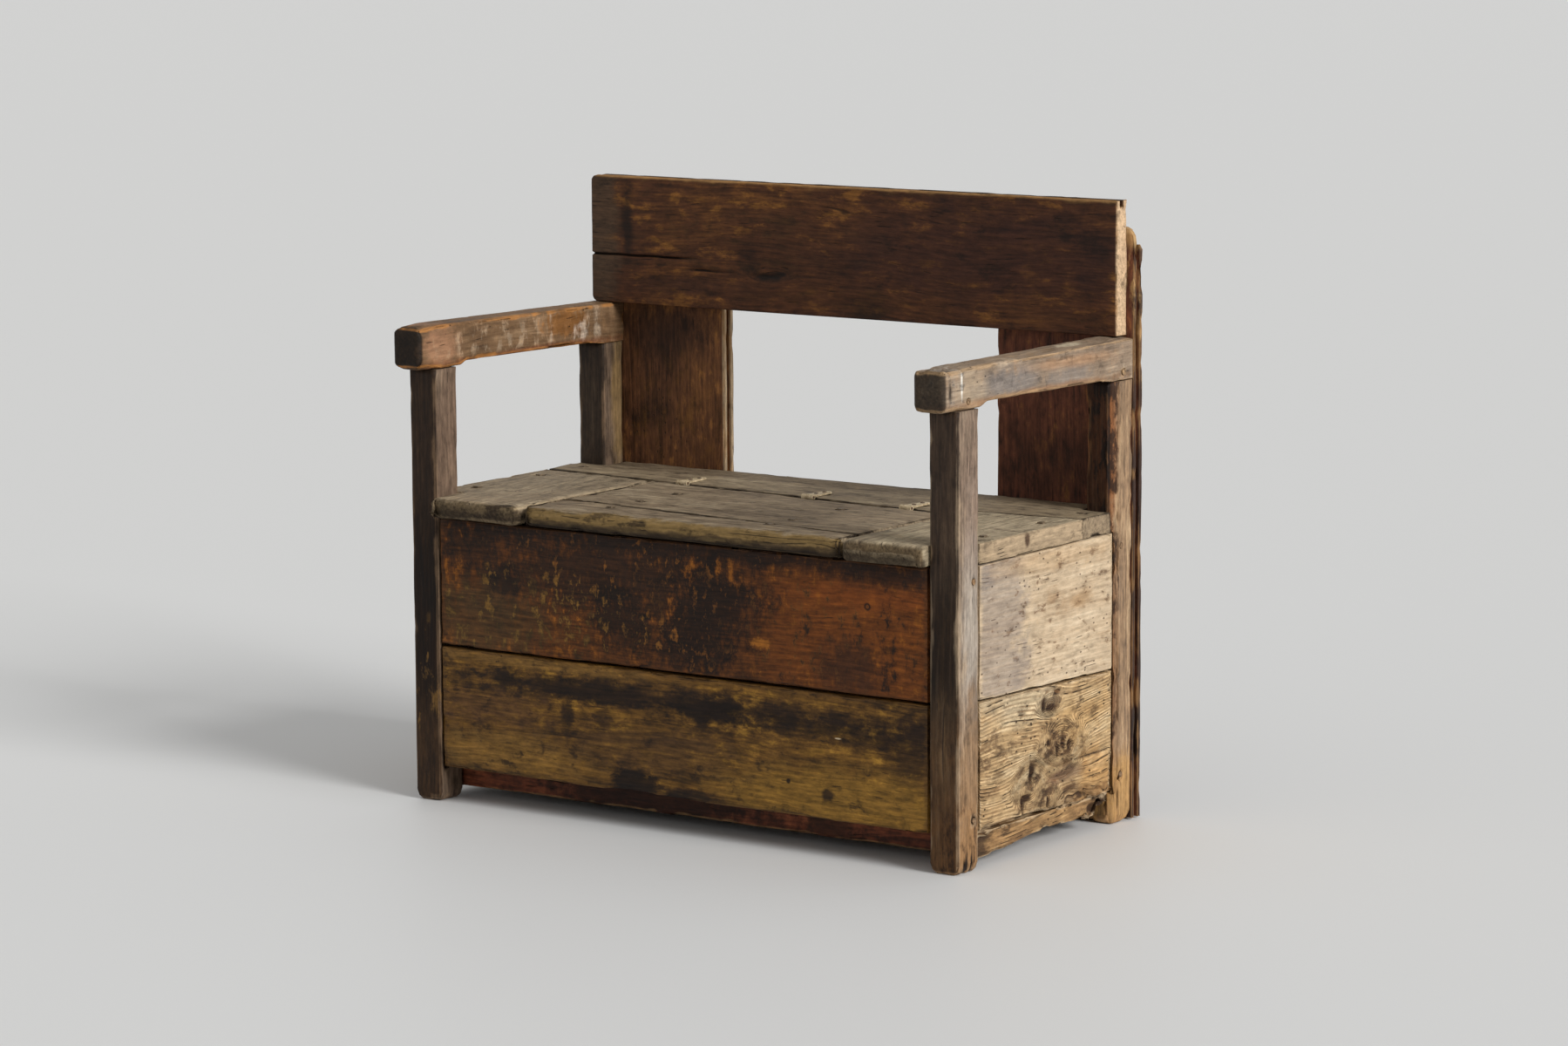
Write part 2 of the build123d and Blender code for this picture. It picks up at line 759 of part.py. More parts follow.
lid_rear_left = hinge_line(lid_left) - lid_rear_gap / 2
lid_rear_right = hinge_line(lid_right) - lid_rear_gap / 2
with BuildPart() as lid_back_board:
    with BuildSketch(Plane.XY.offset(seat_underside)):
        with BuildLine():
            Polyline(
                (lid_left, split_line(lid_left) + lid_split_gap / 2),
                (lid_right, split_line(lid_right) + lid_split_gap / 2),
                (lid_right, lid_rear_right),
                (lid_left, lid_rear_left),
                close=True,
            )
        make_face()
    extrude(amount=seat_thickness)
    chamfer(lid_back_board.faces().sort_by(Axis.Y)[-1].edges().sort_by(Axis.Z)[-1], lid_arris)
    with Locations(*hinge_places):
        pocket = (
            leaf_width + 2 * pocket_play,
            knuckle_radius + pocket_play,
            lid_leaf_length + pocket_play,
        )
        Box(*pocket, align=(Align.CENTER, Align.MAX, Align.MAX), mode=Mode.SUBTRACT)
    cut_nails(lid_nails, *lid_nail)
    cut_nails(lid_hinge_nails, *hinge_nail)
finish(lid_back_board.part, "lid_back_board")

for name, station in zip(("lid_left_batten", "lid_right_batten"), batten_stations):
    with BuildPart() as batten:
        block(
            (station - batten_width / 2, station + batten_width / 2),
            (batten_front, bearer_front - batten_rear_play),
            (seat_underside - batten_thickness, seat_underside),
        )
        cut_nails(lid_nails, *lid_nail)
    finish(batten.part, name)

# Hinges, drawn about their pin: X along the joint, Y towards the back
with BuildPart() as seat_leaf:
    with BuildSketch() as strap:
        with BuildLine():
            Polyline(
                (-leaf_width / 2, knuckle_radius + pocket_play),
                (leaf_width / 2, knuckle_radius + pocket_play),
                (seat_leaf_tail / 2, seat_leaf_length - seat_leaf_tail / 2),
            )
            RadiusArc(
                (seat_leaf_tail / 2, seat_leaf_length - seat_leaf_tail / 2),
                (-seat_leaf_tail / 2, seat_leaf_length - seat_leaf_tail / 2),
                -seat_leaf_tail / 2,
            )
            Line(
                (-seat_leaf_tail / 2, seat_leaf_length - seat_leaf_tail / 2),
                (-leaf_width / 2, knuckle_radius + pocket_play),
            )
        make_face()
        with Locations((0, (knuckle_radius + pocket_play) / 2)):
            Rectangle(knuckle_length, knuckle_radius + pocket_play)
    extrude(amount=leaf_thickness)
    with Locations(Location((0, 0, 0), (0, 90, 0))):
        Cylinder(knuckle_radius, knuckle_length)
        Cylinder(pin_radius + pin_play, knuckle_length, mode=Mode.SUBTRACT)
    cut_nails(seat_leaf_nails, *hinge_nail)

side_knuckle = (leaf_width - knuckle_length) / 2 - knuckle_gap
side_knuckle_x = leaf_width / 2 - side_knuckle / 2
with BuildPart() as lid_leaf:
    block((-leaf_width / 2, leaf_width / 2), (-knuckle_radius, lid_leaf_face), (-lid_leaf_length, 0))
    clear = knuckle_length / 2 + knuckle_gap
    block((-clear, clear), (-knuckle_radius, 0), (-knuckle_radius - pocket_play, 0), Mode.SUBTRACT)
    for x in (-side_knuckle_x, side_knuckle_x):
        with Locations(Location((x, 0, 0), (0, 90, 0))):
            Cylinder(knuckle_radius, side_knuckle)
            Cylinder(pin_radius + pin_play, side_knuckle, mode=Mode.SUBTRACT)
    cut_nails(lid_leaf_nails, *hinge_nail)

with BuildPart() as hinge_pin:
    with Locations(Location((0, 0, 0), (0, 90, 0))):
        Cylinder(pin_radius, leaf_width + 2 * pin_overhang)

for place, word in zip(hinge_places, ("left", "middle", "right")):
    finish(place * seat_leaf.part, f"hinge_{word}_seat_leaf")
    finish(place * lid_leaf.part, f"hinge_{word}_lid_leaf")
    finish(place * hinge_pin.part, f"hinge_{word}_pin")


# Back planks: reused grooved planks, their tops worn lower at the rear
def make_plank(name, x_span, top):
    groove_low = back_face + (plank_thickness - plank_groove) / 2
    with BuildPart() as plank:
        with BuildSketch(Plane.YZ.offset(x_span[0])):
            with BuildLine():
                Polyline(
                    (back_face, plank_floor_gap),
                    (back_face, top),
                    (back_face + plank_lip, top),
                    (back_face + plank_lip + plank_wear_run, top - plank_wear_step),
                    (rear_face, top - plank_top_wear),
                    (rear_face, plank_floor_gap),
                    close=True,
                )
            make_face()
        extrude(amount=x_span[1] - x_span[0])
        block(
            (x_span[1] - plank_groove_depth, x_span[1]),
            (groove_low, groove_low + plank_groove),
            (plank_floor_gap, top),
            Mode.SUBTRACT,
        )
        cut_nails(plank_nails, *plank_nail)
    finish(plank.part, name)


make_plank("back_left_plank", left_plank_span, left_plank_top)
make_plank("back_right_plank", right_plank_span, right_plank_top)

# Back board, grooved along its top edge
back_board_front = back_face - back_board_thickness
with BuildPart() as back_board:
    with BuildSketch(Plane.XZ.offset(-back_board_front)) as outline:
        with BuildLine():
            Polyline(
                (back_board_left_inset - half_width, back_board_base),
                (half_width - back_board_right_inset, back_board_base),
                (half_width - back_board_right_inset, back_height),
                (back_board_left_inset - half_width, back_height),
                close=True,
            )
        make_face()
        fillet(outline.vertices().group_by(Axis.Z)[0].sort_by(Axis.X)[0], back_corner_rounding)
    extrude(amount=-back_board_thickness)
    groove_front = back_board_front + (back_board_thickness - back_groove) / 2
    block(
        (-half_width, half_width),
        (groove_front, groove_front + back_groove),
        (back_height - back_groove_depth, back_height),
        Mode.SUBTRACT,
    )
    fillet(back_board.faces().sort_by(Axis.Y)[0].edges().filter_by(Axis.X), back_board_rounding)
    cut_nails(plank_nails, *plank_nail)
finish(back_board.part, "back_top_board")

# Pegs through the posts and the arms, flush with the outer faces
with BuildPart() as rail_pegs:
    for side in (-1, 1):
        for y in (front_join - front_peg_setback, back_join + back_peg_setback):
            for z in (seat_underside - top_peg_drop, bottom_peg_height):
                with Locations((side * (half_width - peg_length / 2), y, z)):
                    add(peg.part)
finish(rail_pegs.part, "rail_pegs")

with BuildPart() as arm_pegs:
    for side in (-1, 1):
        for y in (front_join - front_post_depth / 2, back_join + back_post_depth / 2):
            with Locations((side * (half_width - peg_length / 2), y, arm_underside + arm_peg_rise)):
                add(peg.part)
finish(arm_pegs.part, "arm_pegs")


# Square nails, drawn pointing down from the top of the head
def drive_nails(name, places, shank, head, head_thickness, length):
    with BuildPart() as nails:
        with Locations(*places):
            top = (Align.CENTER, Align.CENTER, Align.MAX)
            Box(head, head, head_thickness, align=top)
            Box(shank, shank, length, align=top)
    finish(nails.part, name)


drive_nails("seat_nails", seat_nails, *seat_nail)
drive_nails("lid_nails", lid_nails, *lid_nail)
drive_nails("plank_nails", plank_nails, *plank_nail)
drive_nails("seat_hinge_nails", seat_hinge_nails, *hinge_nail)
drive_nails("lid_hinge_nails", lid_hinge_nails, *hinge_nail)
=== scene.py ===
import bpy
import bmesh
import json
import math
from mathutils import Matrix, Vector, kdtree, noise


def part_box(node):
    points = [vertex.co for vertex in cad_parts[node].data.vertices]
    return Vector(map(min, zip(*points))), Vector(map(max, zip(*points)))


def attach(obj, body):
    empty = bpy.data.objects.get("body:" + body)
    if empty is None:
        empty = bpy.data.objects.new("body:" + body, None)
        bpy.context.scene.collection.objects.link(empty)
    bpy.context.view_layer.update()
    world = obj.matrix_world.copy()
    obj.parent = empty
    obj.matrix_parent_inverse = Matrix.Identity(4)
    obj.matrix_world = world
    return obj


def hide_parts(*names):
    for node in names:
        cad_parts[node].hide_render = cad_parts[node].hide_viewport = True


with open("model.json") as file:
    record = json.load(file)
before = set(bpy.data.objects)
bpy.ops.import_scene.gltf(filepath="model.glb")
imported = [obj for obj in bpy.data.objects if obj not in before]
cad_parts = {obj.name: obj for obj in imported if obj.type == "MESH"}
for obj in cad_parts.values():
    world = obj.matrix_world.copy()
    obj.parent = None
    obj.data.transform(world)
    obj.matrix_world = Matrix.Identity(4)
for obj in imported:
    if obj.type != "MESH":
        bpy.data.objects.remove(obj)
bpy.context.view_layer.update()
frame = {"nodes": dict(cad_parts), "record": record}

# Each wooden piece gets a worn copy of its solid in old wood; hinges, nails and pegs keep their solids
scene = bpy.context.scene
axisOf = {"x": 0, "y": 1, "z": 2}
bodyOf = {node: body for body, nodes in frame["record"]["behaviour"]["bodies"].items() for node in nodes}


def tint(red, green, blue):
    # screen colour 0 to 255, turned into a linear one
    def linear(value):
        share = value / 255.0
        return share / 12.92 if share < 0.04045 else ((share + 0.055) / 1.055) ** 2.4
    return (linear(red), linear(green), linear(blue), 1.0)


# A shader socket to reckon with; new nodes go into Field.tree
class Field:
    tree = None

    def __init__(self, socket):
        self.socket = socket

    @classmethod
    def node(cls, kind, settings=None, values=None, output=0):
        made = cls.tree.nodes.new("ShaderNode" + kind)
        for key, value in (settings or {}).items():
            setattr(made, key, value)
        for key, value in (values or {}).items():
            if isinstance(value, Field):
                cls.tree.links.new(value.socket, made.inputs[key])
            else:
                made.inputs[key].default_value = value
        return cls(made.outputs[output])

    def maths(self, operation, other=0.0):
        return Field.node("Math", {"operation": operation}, {0: self, 1: other})

    def __add__(self, other):
        return self.maths("ADD", other)

    def __radd__(self, other):
        return self.maths("ADD", other)

    def __sub__(self, other):
        return self.maths("SUBTRACT", other)

    def __mul__(self, other):
        return self.maths("MULTIPLY", other)

    def __truediv__(self, other):
        return self.maths("DIVIDE", other)

    def __pow__(self, other):
        return self.maths("POWER", other)

    def __abs__(self):
        return self.maths("ABSOLUTE")


def smooth(field, low, high):
    spread = {"Value": field, "From Min": low, "From Max": high}
    return Field.node("MapRange", {"interpolation_type": "SMOOTHSTEP"}, spread)


def mixColour(factor, first, second, blend="MIX"):
    settings = {"data_type": "RGBA", "blend_type": blend}
    return Field.node("Mix", settings, {0: factor, 6: first, 7: second}, 2)


def mapped(vector, scale, shift=(0.0, 0.0, 0.0)):
    return Field.node("Mapping", None, {"Vector": vector, "Scale": scale, "Location": shift})


def noiseAt(vector, scale, detail=3.0, roughness=0.55, distortion=0.0):
    values = {"Vector": vector, "Scale": scale, "Detail": detail, "Roughness": roughness, "Distortion": distortion}
    return Field.node("TexNoise", None, values)


def stretch(grain, share):
    scale = [1.0, 1.0, 1.0]
    scale[axisOf[grain]] = share
    return scale


def splitAxes(vector):
    apart = Field.node("SeparateXYZ", None, {"Vector": vector})
    return [Field(socket) for socket in apart.socket.node.outputs]


# Distance from a place on a face, as a share of its reach
def spanFrom(apart, mark):
    u = (apart[axisOf[mark["axes"][0]]] - mark["at"][0]) / mark["reach"][0]
    v = (apart[axisOf[mark["axes"][1]]] - mark["at"][1]) / mark["reach"][1]
    return (u * u + v * v) ** 0.5


def openMaterial(name):
    material = bpy.data.materials.new(name)
    material.use_nodes = True
    Field.tree = material.node_tree
    Field.tree.nodes.clear()
    return material


def closeMaterial(values):
    shader = Field.node("BsdfPrincipled", None, values)
    end = Field.tree.nodes.new("ShaderNodeOutputMaterial")
    Field.tree.links.new(shader.socket, end.inputs["Surface"])


# What all the wood shares: noise scales, how far noise is drawn out along the grain,
# the bands in which noise turns into a mark, and the bump
grainSet = {
    "seedShift": (1.37, 0.71, 2.13), "bendScale": 4.0, "bendDraw": 0.5, "draw": 0.06, "fibreScale": 250.0,
    "raggedScale": 19.0, "jitterScale": 14.0, "speckScale": 150.0, "speckDraw": 0.35,
    "midBand": (0.38, 0.52), "lightBand": (0.50, 0.64), "accentMottle": (0.54, 0.68), "accentBlotch": (0.38, 0.60),
    "sootMottle": (0.49, 0.36), "sootPatch": (0.44, 0.60), "wornBand": (0.25, 0.8), "wornRagged": 0.9,
    "pitBand": (0.15, 0.7), "pitRagged": 1.2, "ringBand": (0.34, 0.04), "ringFibres": (0.34, 0.62), "ringJitter": 5.0,
    "checkJitter": 3.0, "checkBand": (0.72, 0.80), "checkGain": 0.22, "checkCore": 0.3,
    "wormDraw": 0.6, "wormBand": (0.22, 0.12), "wormOdds": (0.54, 0.60),
    "eatenScale": 9.0, "eatenBand": (0.70, 0.78), "eatenGain": 0.3, "fineBand": (0.30, 0.70),
    "fibreHeight": 0.7, "speckHeight": 0.6, "streakHeight": 0.7, "gapDepth": 1.6, "bumpDistance": 0.0016,
    "toneBand": (0.2, 0.8), "toneRoughness": 0.22, "specular": 0.2,
}
checkSet = (
    {"spacing": 0.0062, "width": 0.0008, "scale": 75.0, "draw": 0.3},
    {"spacing": 0.037, "width": 0.0012, "scale": 30.0, "draw": 0.14},
)


# Old wood: streaks and fibres along the grain, mottling, stains and patches of painted light and shade in their
# places, checks and worm holes
def woodMaterial(look):
    material = openMaterial(look["name"])
    grain = look["grain"]
    place = Field.node("TexCoord", output="Object")
    apart = splitAxes(place)
    own = mapped(place, (1.0, 1.0, 1.0), [look["seed"] * share for share in grainSet["seedShift"]])

    # the grain wanders and bends round knots
    drift = noiseAt(mapped(own, stretch(grain, grainSet["bendDraw"])), grainSet["bendScale"], detail=2.0)
    bend = (drift - 0.5) * look["wander"]
    for swirl in look["knots"]:
        bend = bend + smooth(spanFrom(apart, swirl), 1.0, 0.0) * swirl["bend"]
    sides = [word for word in "xyz" if word != grain]
    push = Field.node("CombineXYZ", None, {side.upper(): bend for side in sides})
    bent = Field.node("VectorMath", {"operation": "ADD"}, {0: own, 1: push})
    along = mapped(bent, stretch(grain, grainSet["draw"]))
    streaks = noiseAt(along, look["streakScale"], detail=4.0, roughness=0.58, distortion=0.35)
    fibres = noiseAt(along, grainSet["fibreScale"], roughness=0.6, distortion=0.1)
    blotch = noiseAt(own, look["blotchScale"], detail=5.0, roughness=0.62, distortion=0.3)
    patchy = mapped(own, look["mottleWay"])
    mottle = noiseAt(patchy, look["mottleScale"], detail=5.0, roughness=0.68, distortion=0.2)

    parts = {"streaks": streaks, "fibres": fibres, "blotches": blotch, "mottles": mottle}
    tone = sum(field * look[word] for word, field in parts.items()) / sum(look[word] for word in parts)
    colour = mixColour(smooth(tone, *grainSet["midBand"]), look["dark"], look["mid"])
    colour = mixColour(smooth(tone, *grainSet["lightBand"]), colour, look["light"])
    accent = smooth(mottle, *grainSet["accentMottle"]) * smooth(blotch, *grainSet["accentBlotch"])
    colour = mixColour(accent * look["accentAmount"], colour, look["accent"])

    ragged = noiseAt(own, grainSet["raggedScale"], detail=6.0, roughness=0.68, distortion=0.4)
    # stains, and patches of painted light and shade, each in its place
    for mark in look["stainsAndPaintedLight"]:
        span = spanFrom(apart, mark) + (ragged - 0.5) * mark["ragged"] + (mottle - 0.5) * mark["grit"]
        mask = smooth(span, 1.0 + mark["soft"], 1.0 - mark["soft"])
        if mark["broken"] > 0.0:
            mask = mask * smooth(mottle, mark["level"], mark["level"] - mark["broken"])
        colour = mixColour(mask * mark["amount"], colour, mark["colour"], mark["blend"])
    soot = smooth(mottle, *grainSet["sootMottle"]) * smooth(ragged, *grainSet["sootPatch"])
    colour = mixColour(soot * look["soot"], colour, look["pitColour"])

    worn = Field.node("Attribute", {"attribute_name": "worn"}, output="Fac")
    rubbed = smooth(worn + (mottle - 0.5) * grainSet["wornRagged"], *grainSet["wornBand"])
    colour = mixColour(rubbed * look["wornAmount"], colour, look["wornColour"])
    pit = Field.node("Attribute", {"attribute_name": "pit"}, output="Fac")
    sunk = smooth(pit + (mottle - 0.5) * grainSet["pitRagged"], *grainSet["pitBand"])
    colour = mixColour(sunk, colour, look["pitColour"])

    # growth rings
    lanes = splitAxes(bent)
    level = lanes[axisOf[sides[0]]] + lanes[axisOf[sides[1]]]
    jitter = noiseAt(along, grainSet["jitterScale"], detail=2.0)
    phase = level / look["ringSpacing"] + jitter * grainSet["ringJitter"]
    ring = smooth(abs(phase.maths("FRACT") - 0.5), *grainSet["ringBand"]) * smooth(fibres, *grainSet["ringFibres"])
    colour = mixColour(ring * look["rings"], colour, look["dark"])

    # worm holes in eaten patches, and thin checks at two spacings, broken up along their length
    drawn = mapped(own, stretch(grain, grainSet["wormDraw"]))
    cell = {"Vector": drawn, "Scale": look["wormScale"], "Randomness": 1.0}
    hole = Field.node("TexVoronoi", None, cell)
    odds = Field.node("TexVoronoi", None, cell, output="Color")
    often = look["worms"] * grainSet["eatenGain"]
    patches = noiseAt(own, grainSet["eatenScale"], roughness=0.6)
    eaten = smooth(patches, *[edge - often for edge in grainSet["eatenBand"]])
    gap = smooth(hole, *grainSet["wormBand"]) * smooth(odds, *grainSet["wormOdds"]) * eaten
    often = look["checks"] * grainSet["checkGain"]
    for check in checkSet:
        phase = level / check["spacing"] + jitter * grainSet["checkJitter"]
        width = check["width"] / check["spacing"]
        line = smooth(abs(phase.maths("FRACT") - 0.5), width, width * grainSet["checkCore"])
        chance = noiseAt(mapped(own, stretch(grain, check["draw"])), check["scale"], detail=2.0)
        line = line * smooth(chance, *[edge - often for edge in grainSet["checkBand"]])
        gap = gap.maths("MAXIMUM", line)

    drawn = mapped(own, stretch(grain, grainSet["speckDraw"]))
    specks = noiseAt(drawn, grainSet["speckScale"], detail=4.0, roughness=0.7)
    fine = smooth(fibres, *grainSet["fineBand"]) + smooth(specks, *grainSet["fineBand"]) - 1.0
    colour = mixColour(1.0, colour, fine * look["fine"] + 1.0, "MULTIPLY")
    colour = mixColour(gap * look["gapAmount"], colour, look["pitColour"])

    height = fibres * grainSet["fibreHeight"] + specks * grainSet["speckHeight"] + streaks * grainSet["streakHeight"]
    height = height + mottle * look["grit"] - gap * grainSet["gapDepth"] - ring * look["rings"]
    bump = {"Height": height, "Strength": look["relief"], "Distance": grainSet["bumpDistance"]}
    closeMaterial({
        "Base Color": colour,
        "Roughness": smooth(tone, *grainSet["toneBand"]) * grainSet["toneRoughness"] + look["roughness"],
        "Normal": Field.node("Bump", None, bump),
        "Specular IOR Level": grainSet["specular"],
    })
    return material


# Common finish and wear of the wood; each piece names what differs
plainLook = {
    "grain": "x", "seed": 1.0, "wander": 0.05, "knots": [], "stainsAndPaintedLight": [], "soot": 0.5,
    "dark": tint(58, 38, 24), "mid": tint(104, 72, 44), "light": tint(142, 104, 64), "accent": tint(168, 116, 60),
    "accentAmount": 0.4, "streakScale": 34.0, "blotchScale": 7.0, "mottleScale": 55.0, "mottleWay": (1.0, 1.0, 1.0),
    "streaks": 1.0, "fibres": 0.5, "blotches": 0.9, "mottles": 0.7, "grit": 0.6, "fine": 0.55,
    "wornColour": tint(150, 118, 82), "wornAmount": 0.6, "pitColour": tint(30, 20, 14),
    "rings": 0.12, "ringSpacing": 0.009, "checks": 0.5, "wormScale": 150.0, "worms": 0.3, "gapAmount": 0.75,
    "relief": 0.6, "roughness": 0.54,
}
plainWear = {
    "step": 0.012, "cross": 0.007, "wear": 0.0014, "reach": 0.007, "chips": 0.002, "wave": 0.0006,
    "hollows": [], "splits": [], "rounds": [], "sharp": 0.5, "calm": [],
}
# What all the wear shares: how solids are cleaned and sliced, noise scales and bands
wearSet = {
    "weld": 0.00002, "flat": math.radians(1.0), "cutDistance": 0.00001, "insets": (0.0018, 0.0045),
    "splitCuts": (-1.5, -1.0, -0.5, 0.0, 0.5, 1.0, 1.5), "splitEdge": 0.9, "splitStart": 0.02, "splitEnd": 0.06,
    "seedShift": (3.1, 1.7, 0.9), "calmBand": (0.004, 0.016), "rubScale": 14.0, "leastRub": 0.25,
    "chipScale": 38.0, "chipBand": (0.12, 0.5), "waveScale": 30.0, "waveDraw": 0.25, "raggedScale": 60.0,
    "hollowScale": 90.0, "strayScale": 24.0, "leastWear": 0.0005, "crease": math.radians(52.0),
}


def fade(low, high, value):
    share = min(1.0, max(0.0, (value - low) / (high - low)))
    return share * share * (3.0 - 2.0 * share)


# Rounds the arrises between two axes, dying out along a third
def roundOff(spot, low, high, turn):
    radius = turn["radius"] * fade(turn["to"], turn["from"], spot[axisOf[turn["along"]]])
    pair = [axisOf[word] for word in turn["axes"]]
    for ends in turn["ends"]:
        inside = [high[axis] - spot[axis] if end > 0 else spot[axis] - low[axis] for axis, end in zip(pair, ends)]
        depth = [radius - part for part in inside]
        span = math.hypot(*depth)
        if min(depth) > 0.0 and span > radius:
            for axis, end, part in zip(pair, ends, depth):
                spot[axis] -= end * part * (1.0 - radius / span)


# Cuts a piece into fine slices, finer at its outer arrises and round splits
def sliceUp(work, settings, grain, low, high):
    cuts = []
    for axis in sorted(range(3), key=lambda item: item == grain):
        step = settings["step"] if axis == grain else settings["cross"]
        count = max(1, round((high[axis] - low[axis]) / step))
        levels = [low[axis] + (high[axis] - low[axis]) * index / count for index in range(1, count)]
        for inset in wearSet["insets"]:
            levels += [low[axis] + inset, high[axis] - inset]
        cuts += [(axis, level) for level in sorted(levels)]
    for split in settings["splits"]:
        axis = axisOf[split["across"]]
        cuts += [(axis, split["at"] + offset * split["width"]) for offset in wearSet["splitCuts"]]
    for axis, level in cuts:
        spot = Vector((0.0, 0.0, 0.0))
        spot[axis] = level
        way = Vector((0.0, 0.0, 0.0))
        way[axis] = 1.0
        everything = work.verts[:] + work.edges[:] + work.faces[:]
        bmesh.ops.bisect_plane(work, geom=everything, dist=wearSet["cutDistance"], plane_co=spot, plane_no=way)


# A tree to find the nearest sharp edge with, or None for a piece without one
def arrisTree(work, sharp):
    arris = set()
    for edge in work.edges:
        if len(edge.link_faces) == 2 and edge.calc_face_angle(0.0) > sharp:
            arris.update(edge.verts)
    tree = kdtree.KDTree(max(1, len(arris)))
    for index, vert in enumerate(arris):
        tree.insert(vert.co, index)
    tree.balance()
    return tree if arris else None


# How far hollows and splits sink a point, and how dirty they make it
def sunkAt(spot, settings, grain, seed):
    sink = 0.0
    pit = 0.0
    for hollow in settings["hollows"]:
        span = Vector((a - b) / c for a, b, c in zip(spot, hollow["at"], hollow["reach"])).length
        span += hollow["ragged"] * noise.noise(spot * wearSet["raggedScale"] + seed)
        if span < 1.0:
            share = 1.0 - span * span if span > 0.0 else 1.0
            sink += hollow["depth"] * share * (0.75 + 0.25 * noise.noise(spot * wearSet["hollowScale"]))
            pit = max(pit, share * hollow["dirt"])
    for split in settings["splits"]:
        stray = split["stray"] * noise.noise(Vector((spot[grain] * wearSet["strayScale"], split["at"], 0.0)))
        off = abs(spot[axisOf[split["across"]]] - split["at"] - stray) / split["width"]
        inside = fade(split["from"] - wearSet["splitStart"], split["from"], spot[grain])
        inside *= fade(split["to"], split["to"] - wearSet["splitEnd"], spot[grain])
        if off < wearSet["splitEdge"]:
            sink += split["depth"] * inside * (1.0 - off)
            pit = max(pit, inside * (1.0 - off))
    return sink, pit


# A worn copy of a CAD piece: sliced finely, arrises rubbed and chipped, hollows and splits cut in
def wornPiece(name, wear, look):
    settings = {**plainWear, **wear}
    finish = {**plainLook, **look, "name": name + "_wood"}
    grain = axisOf[finish["grain"]]
    low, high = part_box(name)
    work = bmesh.new()
    work.from_mesh(frame["nodes"][name].data)
    bmesh.ops.remove_doubles(work, verts=work.verts, dist=wearSet["weld"])
    bmesh.ops.dissolve_limit(work, angle_limit=wearSet["flat"], verts=work.verts, edges=work.edges)
    sliceUp(work, settings, grain, low, high)
    work.normal_update()
    tree = arrisTree(work, settings["sharp"])

    wornLayer = work.verts.layers.float.new("worn")
    pitLayer = work.verts.layers.float.new("pit")
    seed = Vector(finish["seed"] * share for share in wearSet["seedShift"])
    moved = []
    for vert in work.verts:
        spot = vert.co
        rim = max(0.0, 1.0 - tree.find(spot)[2] / settings["reach"]) ** 2 if tree else 0.0
        for axis, joint in settings["calm"]:
            rim *= fade(*wearSet["calmBand"], abs(spot[axisOf[axis]] - joint))
        rub = max(wearSet["leastRub"], 0.7 + 0.9 * noise.noise(spot * wearSet["rubScale"] + seed))
        chip = fade(*wearSet["chipBand"], noise.noise(spot * wearSet["chipScale"] + seed * 2.0))
        worn = rim * (settings["wear"] * rub + settings["chips"] * chip)
        drawn = Vector(spot)
        drawn[grain] *= wearSet["waveDraw"]
        wave = settings["wave"] * (0.5 + 0.5 * noise.noise(drawn * wearSet["waveScale"] + seed))
        sink, pit = sunkAt(spot, settings, grain, seed)
        moved.append((vert, vert.normal * (worn + wave + sink)))
        vert[wornLayer] = min(1.0, worn / max(wearSet["leastWear"], settings["wear"]))
        vert[pitLayer] = min(1.0, pit)
    for vert, shift in moved:
        vert.co -= shift
        for turn in settings["rounds"]:
            roundOff(vert.co, low, high, turn)

    mesh = bpy.data.meshes.new(name + "_worn")
    work.to_mesh(mesh)
    work.free()
    mesh.shade_smooth()
    mesh.set_sharp_from_angle(angle=wearSet["crease"])
    mesh.materials.append(woodMaterial(finish))
    piece = bpy.data.objects.new(name + "_worn", mesh)
    scene.collection.objects.link(piece)
    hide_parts(name)
    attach(piece, bodyOf[name])
    print("piece", name, len(mesh.polygons), "faces")


# A stain, or a patch of painted light or shade, given by its place and reach on two axes; a broken one shows only
# where the mottling is low
def stainOrPaintedLight(axes, at, reach, colour, amount, soft=0.5, ragged=1.8, grit=1.4, broken=0.0, level=0.56, blend="MIX"):
    mark = {"axes": axes, "at": at, "reach": reach, "colour": colour, "amount": amount, "blend": blend}
    return {**mark, "soft": soft, "ragged": ragged, "grit": grit, "broken": broken, "level": level}


# A face darkened with painted shade, multiplied so the grain still shows through
def paintedShadeFace(axes, at, reach, colour, amount=0.95, soft=0.16, ragged=0.0, grit=0.1):
    return stainOrPaintedLight(axes, at, reach, colour, amount, soft, ragged, grit, blend="MULTIPLY")


# A place that the grain bends round
def knot(axes, at, reach, bend):
    return {"axes": axes, "at": at, "reach": reach, "bend": bend}


# A hollow worn or rotted into a piece
def dent(at, reach, depth, ragged=0.25, dirt=1.0):
    return {"at": at, "reach": reach, "depth": depth, "ragged": ragged, "dirt": dirt}


